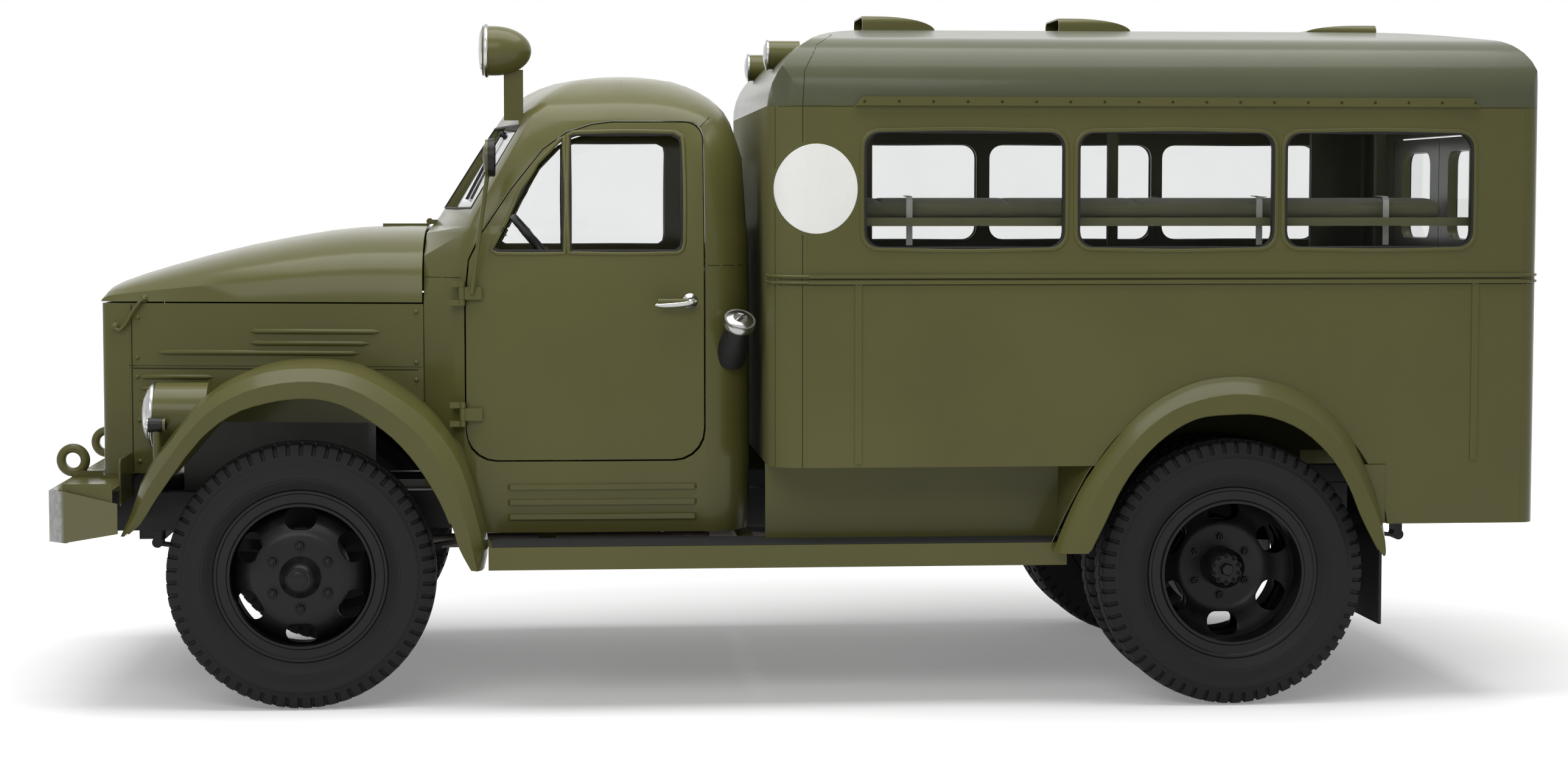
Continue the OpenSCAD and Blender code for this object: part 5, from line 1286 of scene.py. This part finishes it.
def bench():
    low, high = (Vector(v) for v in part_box("bench_seat"))
    under, top = (at(0, 0, z).z for z in BENCH_Z)
    back_x = at(BENCH_BACK_X, 0, 0).x
    seat_room = Vector((low.x, low.y, under)), Vector((back_x, high.y, top)), Z_AXIS, 1
    back_room = Vector((back_x + BENCH_GAP, low.y, under)), high, X_AXIS, -1
    made = []
    for name, room in (("bench_cushion", seat_room), ("bench_backrest", back_room)):
        verts, faces = stuffed(*room, **BENCH_PAD)
        obj = piece(name, verts, faces, "chassis", "leather")
        made.append(obj)
    shape = Shape()
    x0, x1 = low.x + BASE_IN[0], high.x
    y0, y1 = low.y + BASE_IN[1], high.y - BASE_IN[1]
    rows = [(low.z, 0.0)] + [(under + dz, i) for dz, i in BASE_ROWS]
    shape.rings([[(x0 + i, y0 + i, z), (x1 - i, y0 + i, z), (x1 - i, y1 - i, z), (x0 + i, y1 - i, z)]
                 for z, i in rows])
    made.append(shape.make("bench_base", "inner_olive"))
    for obj in made:
        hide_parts("bench_seat")


# Instruments: place across the dashboard and radius of each blank dial
DIALS = [(-480, 46), (-380, 62), (-280, 46), (120, 40)]
DIAL_Z = 1475
DIAL_FROM_X = 1400
# Dial face: share of the radius and height, and the radius and height of its middle
DIAL_FACE = ((1, 0), (1, 4 * MM), (0.9, 5 * MM))
DIAL_MIDDLE = (2 * MM, 5.5 * MM)
DIAL_RIM_R = 5 * MM
DIAL_RIM_UP = 4 * MM


def instruments():
    faces, rims = Shape(), Shape()
    for y, r in DIALS:
        place, up = hit(["dashboard"], at(DIAL_FROM_X, y, DIAL_Z), -X)
        face = [(r * share * MM, h) for share, h in DIAL_FACE]
        faces.revolve(place - up * SUNK, up, face + [DIAL_MIDDLE], steps=32)
        rims.torus(place + up * DIAL_RIM_UP, r * MM, DIAL_RIM_R, steps=40)
    faces.make("dial_faces", "black_plastic")
    rims.make("dial_rims", "bright_steel")


# Handle of the right rear door: place across and up, boss, and the grip's bends across and up
REAR_HANDLE = (60, 1450)
REAR_FROM_X = 6000
REAR_BOSS = in_metres([(20, -1), (20, 4), (10, 8), (9, 18)])
REAR_GRIP = in_metres([(6, 8), (0, 0), (-2, -50), (-6, -110)])
REAR_GRIP_OUT = 18 * MM
REAR_GRIP_R = 8 * MM


def rear_handle():
    base = hit(["rear_door_right"], at(REAR_FROM_X, *REAR_HANDLE), -X)[0]
    shape = Shape()
    shape.revolve(base, X, REAR_BOSS, steps=24)
    shape.sweep([base + Vector((REAR_GRIP_OUT, y, z)) for y, z in REAR_GRIP], round_section(REAR_GRIP_R), X)
    shape.make("rear_handle", "bright_steel", body="rear_door_right")


# Light, floor and camera, in metres and degrees
CAMERA_PLACE = (-0.87, -10.98, 1.79)
CAMERA_TURN = (86.46, 0.0, -4.69)
LENS = 65.56
SENSOR = 36.0
CLIP_END = 200.0
WORLD_LIGHT = 0.34
FLOOR_TONE = 0.82
FLOOR_ROUGH = 0.9
FLOOR_FADE = (2.2, 7.0)
FLOOR_GLOW = (0.22, 1.0)
FLOOR_CORNERS = [(-60, -40, 0), (60, -40, 0), (60, 80, 0), (-60, 80, 0)]
# Place, target, size and power
SOFTBOXES = {
    "top_light": ((0.0, -1.0, 7.5), (0.0, 0.0, 0.0), (9.0, 5.0), 620.0),
    "side_light": ((-3.0, -8.0, 6.0), (0.0, 0.0, 1.2), (7.0, 3.0), 250.0),
}


def camera():
    data = bpy.data.cameras.new("photo_camera")
    data.sensor_width = SENSOR
    data.lens = LENS
    data.clip_end = CLIP_END
    cam = add_object("photo_camera", data)
    cam.location = CAMERA_PLACE
    cam.rotation_euler = [math.radians(a) for a in CAMERA_TURN]
    bpy.context.scene.camera = cam
    bpy.context.scene.view_settings.view_transform = "Standard"


def studio():
    """A white world, and a floor that takes the shadow near the truck and glows white further off."""
    world = bpy.data.worlds.new("studio")
    bpy.context.scene.world = world
    world.use_nodes = True
    sky = Tree(world.node_tree)
    back = world.node_tree.nodes["Background"].inputs
    sky.feed(back["Color"], FULL_WHITE)
    sky.feed(back["Strength"], sky.span(sky.seen(), WORLD_LIGHT, 1.0))

    m = Look("studio_floor")
    away = m.add("ShaderNodeVectorMath", {0: m.place}, operation="LENGTH").outputs["Value"]
    glow = m.calc("MULTIPLY", m.seen(), m.span(away, *FLOOR_GLOW, *FLOOR_FADE))
    mesh = bpy.data.meshes.new("floor")
    mesh.from_pydata(FLOOR_CORNERS, [], [(0, 1, 2, 3)])
    mesh.materials.append(m.finish({
        "Base Color": (FLOOR_TONE, FLOOR_TONE, FLOOR_TONE, 1.0), "Roughness": FLOOR_ROUGH,
        "Specular IOR Level": 0.0, "Emission Color": FULL_WHITE, "Emission Strength": glow,
    }))
    add_object("floor", mesh)


def softboxes():
    for name, (place, target, size, power) in SOFTBOXES.items():
        data = bpy.data.lights.new(name, "AREA")
        data.shape = "RECTANGLE"
        data.size, data.size_y = size
        data.energy = power
        lamp = add_object(name, data)
        lamp.location = place
        lamp.rotation_euler = (Vector(target) - Vector(place)).to_track_quat("-Z", "Y").to_euler()


for build in (
    dress_nodes, tyres, wheel_fittings, window_seals, roundels, sheet_seam_shadows, panel_rivets, gutter_bolts,
    gutter_covers, corner_beads, wheel_house_ends, stretcher_straps, fender_rolls, latches, door_handles,
    lamp_rims, mirror, filler_sleeve, board_mats, wipers, guard_plate, front_apron, stretcher_pads, bench,
    instruments, rear_handle, camera, studio, softboxes,
):
    build()
